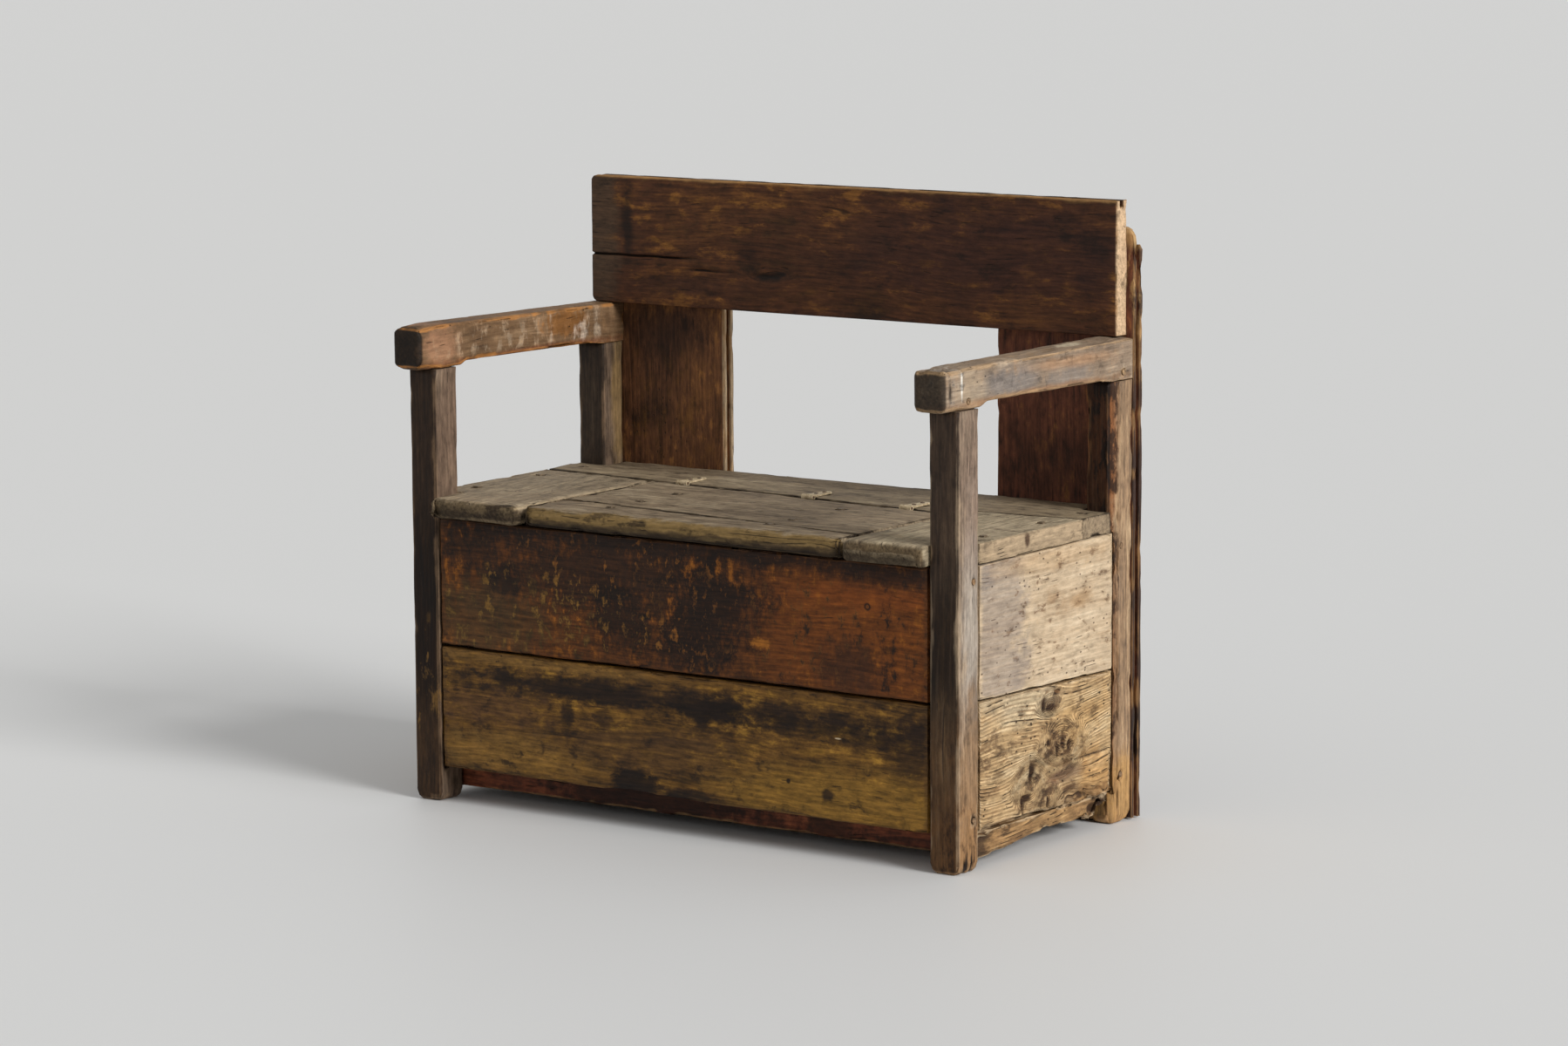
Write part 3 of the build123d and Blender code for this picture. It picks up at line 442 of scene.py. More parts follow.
# Front of the box
black = tint(26, 17, 13)
umber = tint(50, 31, 21)
dusk = tint(38, 25, 18)
ochre = tint(138, 86, 34)
wornPiece("front_upper_board", {"chips": 0.0015}, {
    "seed": 1.0, "dark": tint(38, 22, 12), "mid": tint(86, 49, 21), "light": tint(118, 68, 25),
    "accent": tint(160, 98, 34), "accentAmount": 0.8, "blotchScale": 9.0, "mottleScale": 80.0,
    "mottleWay": (1.0, 1.0, 0.6), "blotches": 1.0, "mottles": 1.4, "streaks": 0.6, "soot": 0.8,
    "wornColour": tint(84, 54, 30), "checks": 0.3, "rings": 0.2,
    "stainsAndPaintedLight": [
        stainOrPaintedLight("xz", (0.30, 0.315), (0.17, 0.12), tint(124, 67, 23), 0.6, soft=0.6, grit=2.4),
        stainOrPaintedLight("xz", (0.33, 0.366), (0.12, 0.016), tint(132, 68, 25), 0.45, soft=0.6, grit=2.0),
        stainOrPaintedLight("xz", (-0.34, 0.275), (0.10, 0.06), tint(82, 62, 36), 0.55),
        # Painted shadow under the seat's overhang, partly real staining: black bands along the top of the board
        stainOrPaintedLight("xz", (0.0, 0.412), (0.48, 0.020), black, 0.85, ragged=2.4),
        stainOrPaintedLight("xz", (0.36, 0.400), (0.09, 0.018), black, 0.75, soft=0.6),
        stainOrPaintedLight("xz", (-0.10, 0.360), (0.20, 0.055), dusk, 0.8, ragged=2.6, grit=2.6),
        stainOrPaintedLight("xz", (0.06, 0.318), (0.075, 0.080), black, 0.8, soft=0.4, ragged=2.8, grit=2.8),
        stainOrPaintedLight("xz", (0.02, 0.262), (0.070, 0.026), black, 0.7, ragged=2.6, grit=2.8),
        stainOrPaintedLight("xz", (-0.100, 0.300), (0.046, 0.046), black, 0.8, soft=0.4, ragged=2.4, grit=2.6),
        stainOrPaintedLight("xz", (-0.298, 0.334), (0.028, 0.024), black, 0.75, soft=0.4, ragged=2.0, grit=2.4),
        stainOrPaintedLight("xz", (-0.37, 0.375), (0.05, 0.04), dusk, 0.75, grit=2.4),
        stainOrPaintedLight("xz", (0.296, 0.270), (0.052, 0.036), umber, 0.75, soft=0.6, ragged=1.6, grit=2.0),
        stainOrPaintedLight("xz", (0.355, 0.298), (0.014, 0.006), black, 0.7, soft=0.4),
        stainOrPaintedLight("xz", (0.02, 0.320), (0.30, 0.085), ochre, 0.75, broken=0.10, level=0.44),
        stainOrPaintedLight("xz", (-0.27, 0.283), (0.16, 0.055), tint(130, 98, 44), 0.7, broken=0.12, level=0.47),
        stainOrPaintedLight("xz", (0.145, 0.288), (0.016, 0.007), tint(170, 106, 38), 0.75, soft=0.3, ragged=2.0, grit=3.6),
        stainOrPaintedLight("xz", (0.28, 0.31), (0.17, 0.10), dusk, 0.75, broken=0.08, level=0.41),
        stainOrPaintedLight("xz", (0.322, 0.354), (0.0052, 0.0052), black, 0.9, soft=0.3, ragged=0.3, grit=0.3),
        stainOrPaintedLight("xz", (0.322, 0.354), (0.0026, 0.0026), tint(116, 66, 28), 0.9, soft=0.3, ragged=0.3, grit=0.3),
    ],
})
wornPiece("front_lower_board", {"chips": 0.003, "hollows": [
    dent((-0.080, -0.215, 0.052), (0.055, 0.03, 0.014), 0.005),
    dent((0.0, -0.215, 0.052), (0.035, 0.03, 0.010), 0.003),
]}, {
    "seed": 2.0, "dark": tint(52, 35, 17), "mid": tint(106, 74, 32), "light": tint(144, 104, 42),
    "accent": tint(174, 130, 52), "accentAmount": 0.55, "streakScale": 58.0, "streaks": 1.5, "mottles": 1.3,
    "mottleScale": 75.0, "mottleWay": (0.55, 1.0, 1.0), "wornColour": tint(90, 64, 35), "soot": 0.75,
    "checks": 0.35, "rings": 0.2,
    "stainsAndPaintedLight": [
        stainOrPaintedLight("xz", (0.02, 0.13), (0.34, 0.03), tint(92, 61, 34), 0.5, soft=0.6, broken=0.4),
        stainOrPaintedLight("xz", (0.26, 0.085), (0.20, 0.040), tint(150, 112, 46), 0.6, grit=2.0),
        stainOrPaintedLight("xz", (-0.29, 0.085), (0.13, 0.030), tint(138, 103, 50), 0.55),
        stainOrPaintedLight("xz", (-0.25, 0.219), (0.20, 0.009), tint(128, 96, 50), 0.5, soft=0.6),
        stainOrPaintedLight("xz", (0.0, 0.192), (0.52, 0.017), dusk, 0.85, soft=0.55, ragged=2.6),
        stainOrPaintedLight("xz", (0.055, 0.184), (0.085, 0.020), black, 0.95, soft=0.55, ragged=2.2, grit=2.0),
        stainOrPaintedLight("xz", (0.255, 0.178), (0.17, 0.017), black, 0.7, soft=0.6, ragged=2.2, grit=2.0),
        stainOrPaintedLight("xz", (-0.13, 0.188), (0.12, 0.014), black, 0.75, soft=0.6, ragged=2.2, grit=2.0),
        stainOrPaintedLight("xz", (-0.298, 0.193), (0.028, 0.018), black, 0.85, soft=0.45, ragged=2.0),
        stainOrPaintedLight("xz", (-0.190, 0.146), (0.011, 0.038), black, 0.8, ragged=2.6, grit=2.0),
        stainOrPaintedLight("xz", (-0.126, 0.152), (0.017, 0.016), dusk, 0.6, soft=0.6, ragged=2.4),
        stainOrPaintedLight("xz", (-0.33, 0.150), (0.09, 0.026), tint(82, 56, 38), 0.55, soft=0.6, grit=2.2),
        stainOrPaintedLight("xz", (-0.05, 0.115), (0.17, 0.030), tint(78, 55, 33), 0.6, grit=2.0),
        stainOrPaintedLight("xz", (-0.068, 0.069), (0.042, 0.017), black, 0.95, soft=0.25, ragged=1.2),
        stainOrPaintedLight("xz", (0.02, 0.060), (0.06, 0.011), dusk, 0.85, soft=0.4),
        stainOrPaintedLight("xz", (0.395, 0.170), (0.04, 0.045), dusk, 0.7),
        stainOrPaintedLight("xz", (0.256, 0.088), (0.010, 0.009), dusk, 0.9, soft=0.35, ragged=0.9),
        stainOrPaintedLight("xz", (0.190, 0.100), (0.0036, 0.0036), black, 0.95, soft=0.4, ragged=0.4, grit=0.4),
        stainOrPaintedLight("xz", (0.273, 0.168), (0.005, 0.0010), tint(214, 196, 164), 0.8, soft=0.4, ragged=0.5, grit=0.4),
    ],
})
wornPiece("front_bottom_rail", {"chips": 0.003}, {
    "seed": 3.0, "dark": tint(54, 29, 20), "mid": tint(116, 62, 40), "light": tint(146, 86, 56), "accentAmount": 0.1,
    "stainsAndPaintedLight": [
        stainOrPaintedLight("xz", (-0.06, 0.045), (0.20, 0.05), black, 0.85, soft=0.4),
        stainOrPaintedLight("xz", (0.23, 0.045), (0.04, 0.04), umber, 0.8, soft=0.4),
    ],
})

# Posts: fronts darkened with painted shade, paler sides, golden worn feet
postLook = {
    "grain": "z", "dark": tint(98, 82, 69), "mid": tint(128, 109, 91), "light": tint(160, 142, 121),
    "accent": tint(176, 148, 116), "accentAmount": 0.35, "wornColour": tint(170, 148, 120), "wornAmount": 0.4,
    "streakScale": 60.0, "checks": 0.45, "worms": 0.2, "wander": 0.02, "soot": 0.4, "rings": 0.1,
    "mottleWay": (1.0, 1.0, 0.4), "fine": 0.44,
}
armJoint = 0.628
postWear = {"step": 0.014, "cross": 0.006, "wear": 0.0010, "chips": 0.0012, "sharp": 0.45, "calm": [("z", armJoint)]}
frontFace = -0.217
rearFront = 0.179
wornPiece("front_right_post", {**postWear, "hollows": [
    dent((0.468, -0.196, 0.012), (0.012, 0.006, 0.046), 0.004, ragged=0.6, dirt=0.8),
    dent((0.468, -0.181, 0.016), (0.012, 0.004, 0.036), 0.003, ragged=0.6, dirt=0.8),
    dent((0.468, -0.208, 0.010), (0.012, 0.004, 0.030), 0.003, ragged=0.6, dirt=0.7),
]}, {
    **postLook, "seed": 4.0,
    "stainsAndPaintedLight": [
        stainOrPaintedLight("yz", (-0.185, 0.33), (0.020, 0.14), tint(170, 160, 148), 0.65, soft=0.7),
        stainOrPaintedLight("yz", (-0.180, 0.52), (0.030, 0.10), tint(128, 106, 90), 0.6, soft=0.6),
        stainOrPaintedLight("yz", (-0.176, 0.22), (0.014, 0.05), tint(92, 78, 66), 0.6, soft=0.6, grit=2.4),
        stainOrPaintedLight("yz", (-0.185, 0.12), (0.040, 0.10), tint(142, 108, 72), 0.7, soft=0.6),
        stainOrPaintedLight("yz", (-0.190, 0.03), (0.045, 0.050), tint(146, 108, 68), 0.75),
        stainOrPaintedLight("yz", (-0.190, 0.03), (0.045, 0.060), tint(62, 38, 22), 0.85, broken=0.14, level=0.49),
        # Painted shade over the front face, weaker towards the foot
        paintedShadeFace("yz", (frontFace, 0.62), (0.0036, 0.40), tint(120, 109, 101)),
        paintedShadeFace("yz", (frontFace, 0.0), (0.0036, 0.40), tint(152, 136, 112)),
    ],
})
leftPostLook = {
    **postLook, "dark": tint(70, 56, 45), "mid": tint(102, 84, 68), "light": tint(132, 113, 94),
    "accent": tint(140, 112, 82), "wornColour": tint(132, 106, 80),
}
wornPiece("front_left_post", postWear, {
    **leftPostLook, "seed": 5.0,
    "stainsAndPaintedLight": [
        stainOrPaintedLight("yz", (-0.180, 0.55), (0.03, 0.13), tint(112, 90, 74), 0.6),
        # Painted shade over the front face, weaker towards the foot
        paintedShadeFace("yz", (frontFace, 0.62), (0.0036, 0.50), tint(106, 90, 76)),
        paintedShadeFace("yz", (frontFace, 0.0), (0.0036, 0.40), tint(152, 128, 96)),
        stainOrPaintedLight("yz", (-0.210, 0.17), (0.030, 0.06), tint(136, 100, 50), 0.7, broken=0.10, level=0.45),
    ],
})
wornPiece("back_left_post", postWear, {
    **leftPostLook, "seed": 6.0,
    "stainsAndPaintedLight": [
        # Painted shade over the front face of the rear post
        paintedShadeFace("yz", (rearFront, 0.36), (0.0036, 2.0), tint(136, 132, 128)),
        stainOrPaintedLight("yz", (0.215, 0.55), (0.015, 0.14), tint(140, 112, 68), 0.6),
    ],
})
wornPiece("back_right_post", {**postWear, "chips": 0.004, "wave": 0.001}, {
    **postLook, "seed": 7.0, "mid": tint(146, 118, 90), "light": tint(184, 156, 122),
    "wornColour": tint(150, 108, 70), "wornAmount": 0.3,
    "stainsAndPaintedLight": [
        stainOrPaintedLight("yz", (0.182, 0.24), (0.008, 0.20), tint(118, 82, 54), 0.75, ragged=1.2),
        stainOrPaintedLight("yz", (0.182, 0.54), (0.007, 0.11), tint(140, 84, 42), 0.85, ragged=1.2),
        stainOrPaintedLight("yz", (0.181, 0.40), (0.009, 0.60), tint(40, 25, 17), 0.9, ragged=1.4, broken=0.12, level=0.53),
        # Painted shade over the front face of the rear post
        paintedShadeFace("yz", (rearFront, 0.36), (0.0032, 2.0), tint(96, 84, 76)),
        stainOrPaintedLight("yz", (0.210, 0.04), (0.05, 0.06), tint(178, 136, 80), 0.7),
    ],
})

# Arms: chunky, with rounded front ends
armLook = {
    "grain": "y", "dark": tint(112, 94, 78), "mid": tint(142, 122, 102), "light": tint(178, 159, 136),
    "accent": tint(170, 128, 88), "wornColour": tint(182, 148, 108), "wornAmount": 0.5,
    "streakScale": 50.0, "checks": 0.4, "worms": 0.5, "soot": 0.4, "rings": 0.06,
    "mottleWay": (1.0, 0.8, 1.0), "fine": 0.28,
}
everyCorner = ((-1, -1), (-1, 1), (1, -1), (1, 1))
armWear = {"step": 0.009, "cross": 0.0036, "reach": 0.008, "sharp": 0.4}


def armRounds(longRadius, endRadius, start, stop):
    return [
        {"axes": "xz", "ends": everyCorner, "radius": longRadius, "along": "y", "from": start, "to": stop},
        {"axes": "yz", "ends": ((-1, -1), (-1, 1)), "radius": endRadius, "along": "y", "from": -0.25, "to": 0.2},
    ]


wornPiece("right_arm", {**armWear, "rounds": armRounds(0.013, 0.011, -0.235, -0.13), "hollows": [
    dent((0.472, -0.01, 0.692), (0.032, 0.10, 0.034), 0.007, ragged=0.1, dirt=0.0),
    dent((0.472, 0.15, 0.694), (0.040, 0.09, 0.026), 0.006, ragged=0.1, dirt=0.0),
    dent((0.445, -0.225, 0.686), (0.03, 0.028, 0.008), 0.005, ragged=0.8, dirt=0.35),
    dent((0.471, -0.236, 0.655), (0.004, 0.0016, 0.03), 0.002, ragged=0.1),
]}, {
    **armLook, "seed": 8.0,
    "stainsAndPaintedLight": [
        stainOrPaintedLight("yz", (-0.09, 0.655), (0.07, 0.018), tint(116, 112, 110), 0.65, soft=0.6, grit=2.2),
        stainOrPaintedLight("yz", (0.06, 0.648), (0.05, 0.016), tint(124, 116, 110), 0.6, soft=0.6, grit=2.2),
        stainOrPaintedLight("yz", (-0.18, 0.655), (0.03, 0.03), tint(172, 152, 126), 0.5, soft=0.6),
        stainOrPaintedLight("yz", (0.08, 0.668), (0.09, 0.007), tint(172, 128, 90), 0.5, soft=0.7),
        stainOrPaintedLight("yz", (-0.02, 0.635), (0.2, 0.006), tint(150, 106, 68), 0.6, soft=0.6),
        stainOrPaintedLight("xy", (0.440, 0.02), (0.02, 0.22), tint(188, 152, 108), 0.5, soft=0.6, broken=0.4),
        stainOrPaintedLight("xy", (0.445, 0.10), (0.010, 0.03), tint(220, 204, 174), 0.7, soft=0.4, grit=2.6),
        stainOrPaintedLight("yz", (-0.208, 0.664), (0.0022, 0.018), tint(230, 224, 212), 0.85, ragged=0.5, grit=0.6),
        stainOrPaintedLight("xy", (0.445, -0.222), (0.020, 0.024), tint(214, 206, 192), 0.7, ragged=2.4, broken=0.24),
        stainOrPaintedLight("xy", (0.445, -0.222), (0.024, 0.028), black, 0.85, ragged=1.6, broken=0.08, level=0.45),
        # Painted shade over the front end of the arm
        paintedShadeFace("yz", (-0.253, 0.655), (0.0075, 2.0), tint(92, 88, 82), soft=0.35),
    ],
})
wornPiece("left_arm", {**armWear, "rounds": armRounds(0.022, 0.017, -0.240, -0.17)}, {
    **armLook, "seed": 9.0, "dark": tint(78, 58, 41), "mid": tint(110, 84, 59), "light": tint(146, 119, 90),
    "wornColour": tint(174, 118, 62), "wornAmount": 0.75, "accent": tint(150, 108, 68), "mottleWay": (1.0, 1.0, 0.5),
    "stainsAndPaintedLight": [
        stainOrPaintedLight("yz", (-0.205, 0.66), (0.035, 0.03), tint(166, 122, 92), 0.65),
        stainOrPaintedLight("yz", (-0.04, 0.660), (0.13, 0.020), tint(178, 164, 142), 0.75, soft=0.6, ragged=2.4,
              broken=0.16, level=0.52),
        stainOrPaintedLight("yz", (0.09, 0.668), (0.05, 0.018), tint(118, 76, 34), 0.85, soft=0.35, grit=2.4),
        stainOrPaintedLight("yz", (0.052, 0.665), (0.003, 0.020), tint(212, 202, 184), 0.7, soft=0.6, broken=0.3),
        stainOrPaintedLight("yz", (0.125, 0.650), (0.018, 0.012), tint(220, 212, 198), 0.85, soft=0.4, grit=3.0, broken=0.3),
        stainOrPaintedLight("yz", (0.155, 0.660), (0.020, 0.022), tint(196, 184, 164), 0.7, broken=0.25),
        stainOrPaintedLight("yz", (0.0, 0.634), (0.2, 0.006), tint(112, 62, 38), 0.75, soft=0.6),
        stainOrPaintedLight("xy", (-0.445, -0.02), (0.03, 0.24), tint(178, 122, 64), 0.7, broken=0.4),
        # Painted shade over the front end of the arm
        paintedShadeFace("yz", (-0.253, 0.655), (0.0085, 2.0), tint(68, 70, 72), soft=0.3),
    ],
})

# Right and left sides: pale, sunlit and worm-eaten, the lower boards gnarled
sideLook = {
    "grain": "y", "dark": tint(164, 138, 108), "mid": tint(192, 170, 141), "light": tint(213, 194, 166),
    "accent": tint(192, 156, 112), "wornColour": tint(200, 176, 142),
    "pitColour": tint(60, 42, 29), "streakScale": 44.0, "checks": 0.42, "worms": 0.95, "wormScale": 140.0,
    "mottleWay": (1.0, 0.5, 1.0), "soot": 0.3, "rings": 0.22, "ringSpacing": 0.007, "wander": 0.03, "fine": 0.28,
}
smoke = tint(148, 134, 122)
gnarl = tint(70, 48, 32)
sideFace = 0.469
railFace = 0.462


# A hollow in the outer face of a side board
def sideDent(side, at, reach, depth, ragged=0.8, dirt=1.0):
    return dent((side * sideFace, *at), (0.012, *reach), depth, ragged, dirt)


for side, word in ((1.0, "right"), (-1.0, "left")):
    wornPiece(word + "_side_upper_board", {"chips": 0.0015}, {
        **sideLook, "seed": 10.0 + side,
        "stainsAndPaintedLight": [
            stainOrPaintedLight("yz", (-0.125, 0.31), (0.075, 0.17), smoke, 0.7, soft=0.3, ragged=2.0),
            stainOrPaintedLight("yz", (-0.150, 0.395), (0.020, 0.022), tint(120, 112, 108), 0.6, soft=0.6),
            stainOrPaintedLight("yz", (-0.060, 0.262), (0.022, 0.026), tint(138, 124, 114), 0.5, soft=0.6),
            stainOrPaintedLight("yz", (0.04, 0.402), (0.16, 0.012), tint(176, 144, 106), 0.5, soft=0.7),
            stainOrPaintedLight("yz", (0.091, 0.337), (0.035, 0.010), tint(160, 126, 88), 0.7, soft=0.7),
            stainOrPaintedLight("yz", (0.02, 0.345), (0.012, 0.006), tint(150, 118, 84), 0.6, soft=0.7),
            stainOrPaintedLight("yz", (0.04, 0.33), (0.20, 0.10), tint(104, 76, 52), 0.7, soft=0.6, broken=0.06, level=0.41),
        ],
    })
    lowerWear = {"step": 0.0045, "cross": 0.0045, "wave": 0.002, "chips": 0.003}
    wornPiece(word + "_side_lower_board", {**lowerWear, "hollows": [
        sideDent(side, (0.055, 0.140), (0.007, 0.018), 0.007),
        sideDent(side, (0.040, 0.130), (0.006, 0.014), 0.007),
        sideDent(side, (0.070, 0.134), (0.006, 0.016), 0.006, dirt=0.9),
        sideDent(side, (0.015, 0.144), (0.011, 0.007), 0.007),
        sideDent(side, (0.045, 0.136), (0.045, 0.024), 0.004, ragged=0.9, dirt=0.3),
        sideDent(side, (-0.031, 0.104), (0.010, 0.022), 0.005, ragged=0.9, dirt=0.8),
        sideDent(side, (-0.042, 0.078), (0.012, 0.006), 0.008, ragged=0.9),
        sideDent(side, (-0.053, 0.070), (0.006, 0.011), 0.006, ragged=0.9, dirt=0.9),
        sideDent(side, (0.013, 0.066), (0.007, 0.014), 0.006, dirt=0.9),
        sideDent(side, (0.002, 0.202), (0.007, 0.016), 0.004, ragged=0.6, dirt=0.9),
        sideDent(side, (0.020, 0.194), (0.018, 0.006), 0.005),
        sideDent(side, (0.035, 0.214), (0.012, 0.004), 0.003, dirt=0.8),
        sideDent(side, (0.06, 0.094), (0.09, 0.006), 0.005, ragged=0.5, dirt=0.35),
        sideDent(side, (0.12, 0.112), (0.07, 0.004), 0.005, ragged=0.4, dirt=0.6),
        sideDent(side, (0.10, 0.060), (0.10, 0.014), 0.006, dirt=0.3),
    ]}, {
        **sideLook, "seed": 14.0 + side,
        "dark": tint(116, 84, 53), "mid": tint(190, 159, 116), "light": tint(222, 198, 158),
        "accent": tint(168, 126, 78), "pitColour": tint(48, 31, 20), "gapAmount": 0.85, "checks": 0.75, "relief": 1.2,
        "streaks": 1.4, "wander": 0.07, "soot": 0.6, "rings": 0.65, "ringSpacing": 0.0052, "fine": 0.42,
        "knots": [
            knot("yz", (0.048, 0.136), (0.075, 0.050), 0.050), knot("yz", (-0.035, 0.095), (0.055, 0.045), -0.042),
            knot("yz", (0.015, 0.198), (0.040, 0.022), 0.026), knot("yz", (0.010, 0.066), (0.040, 0.030), 0.034),
        ],
        "stainsAndPaintedLight": [
            stainOrPaintedLight("yz", (-0.06, 0.215), (0.09, 0.03), tint(206, 188, 156), 0.6, soft=0.6),
            stainOrPaintedLight("yz", (0.09, 0.165), (0.07, 0.035), tint(188, 150, 98), 0.6, soft=0.6),
            stainOrPaintedLight("yz", (0.045, 0.140), (0.055, 0.030), gnarl, 0.85, soft=0.6, broken=0.16),
            stainOrPaintedLight("yz", (-0.035, 0.095), (0.035, 0.040), gnarl, 0.75, soft=0.6, broken=0.16),
            stainOrPaintedLight("yz", (0.015, 0.068), (0.05, 0.022), gnarl, 0.8, soft=0.6, broken=0.16),
            stainOrPaintedLight("yz", (0.015, 0.200), (0.04, 0.018), gnarl, 0.7, soft=0.6, broken=0.14),
            stainOrPaintedLight("yz", (-0.13, 0.150), (0.05, 0.030), gnarl, 0.6, soft=0.6, broken=0.12),
            stainOrPaintedLight("yz", (0.063, 0.094), (0.048, 0.009), tint(112, 84, 66), 0.75, soft=0.6),
            stainOrPaintedLight("yz", (0.14, 0.085), (0.04, 0.03), tint(190, 142, 82), 0.6, soft=0.6),
            stainOrPaintedLight("yz", (0.12, 0.056), (0.09, 0.010), tint(116, 82, 48), 0.7, soft=0.6),
        ],
    })
    rail = side * railFace
    railWear = {"step": 0.008, "cross": 0.006, "chips": 0.006, "wave": 0.003}
    wornPiece(word + "_bottom_rail", {**railWear, "hollows": [
        dent((rail, 0.165, 0.022), (0.024, 0.034, 0.032), 0.014, ragged=0.6),
        dent((rail, 0.09, 0.016), (0.02, 0.04, 0.010), 0.006, ragged=0.9, dirt=0.5),
        dent((rail, -0.14, 0.040), (0.02, 0.03, 0.010), 0.008, ragged=0.7, dirt=0.8),
    ]}, {
        **sideLook, "seed": 18.0 + side,
        "dark": tint(96, 68, 42), "mid": tint(152, 118, 78), "light": tint(188, 155, 108),
        "checks": 0.8, "relief": 1.0, "soot": 0.8, "fine": 0.45,
        "stainsAndPaintedLight": [
            stainOrPaintedLight("yz", (0.165, 0.035), (0.03, 0.04), tint(64, 42, 26), 0.8),
            stainOrPaintedLight("yz", (-0.15, 0.020), (0.026, 0.028), tint(54, 37, 24), 0.85),
            stainOrPaintedLight("yz", (0.03, 0.012), (0.16, 0.012), tint(84, 60, 40), 0.7, soft=0.6, ragged=2.4),
        ],
    })
    wornPiece(word + "_top_rail", {"step": 0.03, "cross": 0.012}, {"grain": "y", "seed": 22.0 + side})

# Seat and lid: grey and weathered, with ochre noses
seatLook = {
    "dark": tint(108, 92, 73), "mid": tint(144, 126, 102), "light": tint(178, 161, 134), "accent": tint(164, 138, 102),
    "wornColour": tint(166, 144, 112), "wornAmount": 0.3, "pitColour": tint(46, 35, 26),
    "streakScale": 46.0, "checks": 0.56, "worms": 0.35, "relief": 1.0, "roughness": 0.64, "soot": 0.45, "fine": 0.42,
    "mottleWay": (0.5, 1.0, 1.0),
}
dirtyJoints = {"wornColour": tint(40, 31, 23), "wornAmount": 0.9}
moss = tint(92, 74, 42)
# Painted shade for the undersides of the seat and lid noses
paintedShade = tint(46, 35, 24)
leftEndWear = {"wear": 0.003, "reach": 0.011, "chips": 0.008, "wave": 0.003, "step": 0.008, "cross": 0.006}
wornPiece("seat_left_end", {**leftEndWear, "hollows": [
    dent((-0.428, -0.244, 0.430), (0.036, 0.024, 0.05), 0.012, ragged=0.2, dirt=0.0),
    dent((-0.262, -0.243, 0.425), (0.022, 0.014, 0.03), 0.005, ragged=0.3, dirt=0.2),
]}, {
    **seatLook, "grain": "y", "seed": 26.0, "soot": 0.4,
    "stainsAndPaintedLight": [
        stainOrPaintedLight("xy", (-0.36, 0.0), (0.10, 0.16), tint(158, 144, 120), 0.4, soft=0.7),
        stainOrPaintedLight("yz", (-0.241, 0.430), (0.016, 0.022), tint(84, 68, 44), 0.85, soft=0.4, ragged=1.4, grit=1.6),
        stainOrPaintedLight("yz", (-0.240, 0.434), (0.020, 0.020), tint(46, 34, 23), 0.85, broken=0.10, level=0.49),
        # Painted shade over the lower half of the nose
        stainOrPaintedLight("yz", (-0.238, 0.416), (0.03, 0.020), paintedShade, 0.88, grit=2.2),
        # Painted highlight along the top edge at the joint
        stainOrPaintedLight("xz", (-0.263, 0.447), (0.005, 0.006), tint(200, 176, 138), 0.85, ragged=0.5, grit=0.6),
    ],
})
wornPiece("seat_right_end", {"wear": 0.002, "chips": 0.003, "wave": 0.0015, "step": 0.009}, {
    **seatLook, "grain": "y", "seed": 27.0, "mid": tint(158, 142, 116), "light": tint(190, 174, 144),
    "stainsAndPaintedLight": [
        stainOrPaintedLight("xy", (0.43, 0.0), (0.05, 0.16), tint(198, 180, 150), 0.5, soft=0.7),
        stainOrPaintedLight("xz", (0.470, 0.432), (0.003, 0.03), tint(166, 142, 113), 0.8, ragged=0.3, grit=0.3),
        stainOrPaintedLight("yz", (-0.045, 0.437), (0.006, 0.009), tint(70, 48, 34), 0.9, soft=0.4, ragged=1.0),
        # Painted shade over the nose's front face and its underside
        paintedShadeFace("yz", (-0.236, 0.428), (0.008, 0.03), tint(150, 138, 122), soft=0.4, grit=0.6),
        stainOrPaintedLight("yz", (-0.232, 0.420), (0.012, 0.009), paintedShade, 0.8, ragged=0.6),
    ],
})
wornPiece("seat_back_board", {"wear": 0.0018, "reach": 0.010, "chips": 0.003, "wave": 0.0015, "step": 0.014}, {
    **seatLook, **dirtyJoints, "seed": 28.0, "mid": tint(142, 125, 100), "light": tint(172, 155, 127),
    "knots": [knot("yz", (0.13, 0.432), (0.03, 0.014), 0.012)],
    "stainsAndPaintedLight": [
        # Painted shade along the rear edge, where the seat meets the back
        stainOrPaintedLight("xy", (0.0, 0.20), (0.5, 0.035), tint(92, 76, 58), 0.6, soft=0.7),
        stainOrPaintedLight("xz", (0.466, 0.432), (0.004, 0.03), tint(142, 122, 98), 0.7, ragged=0.3, grit=0.3),
    ],
})
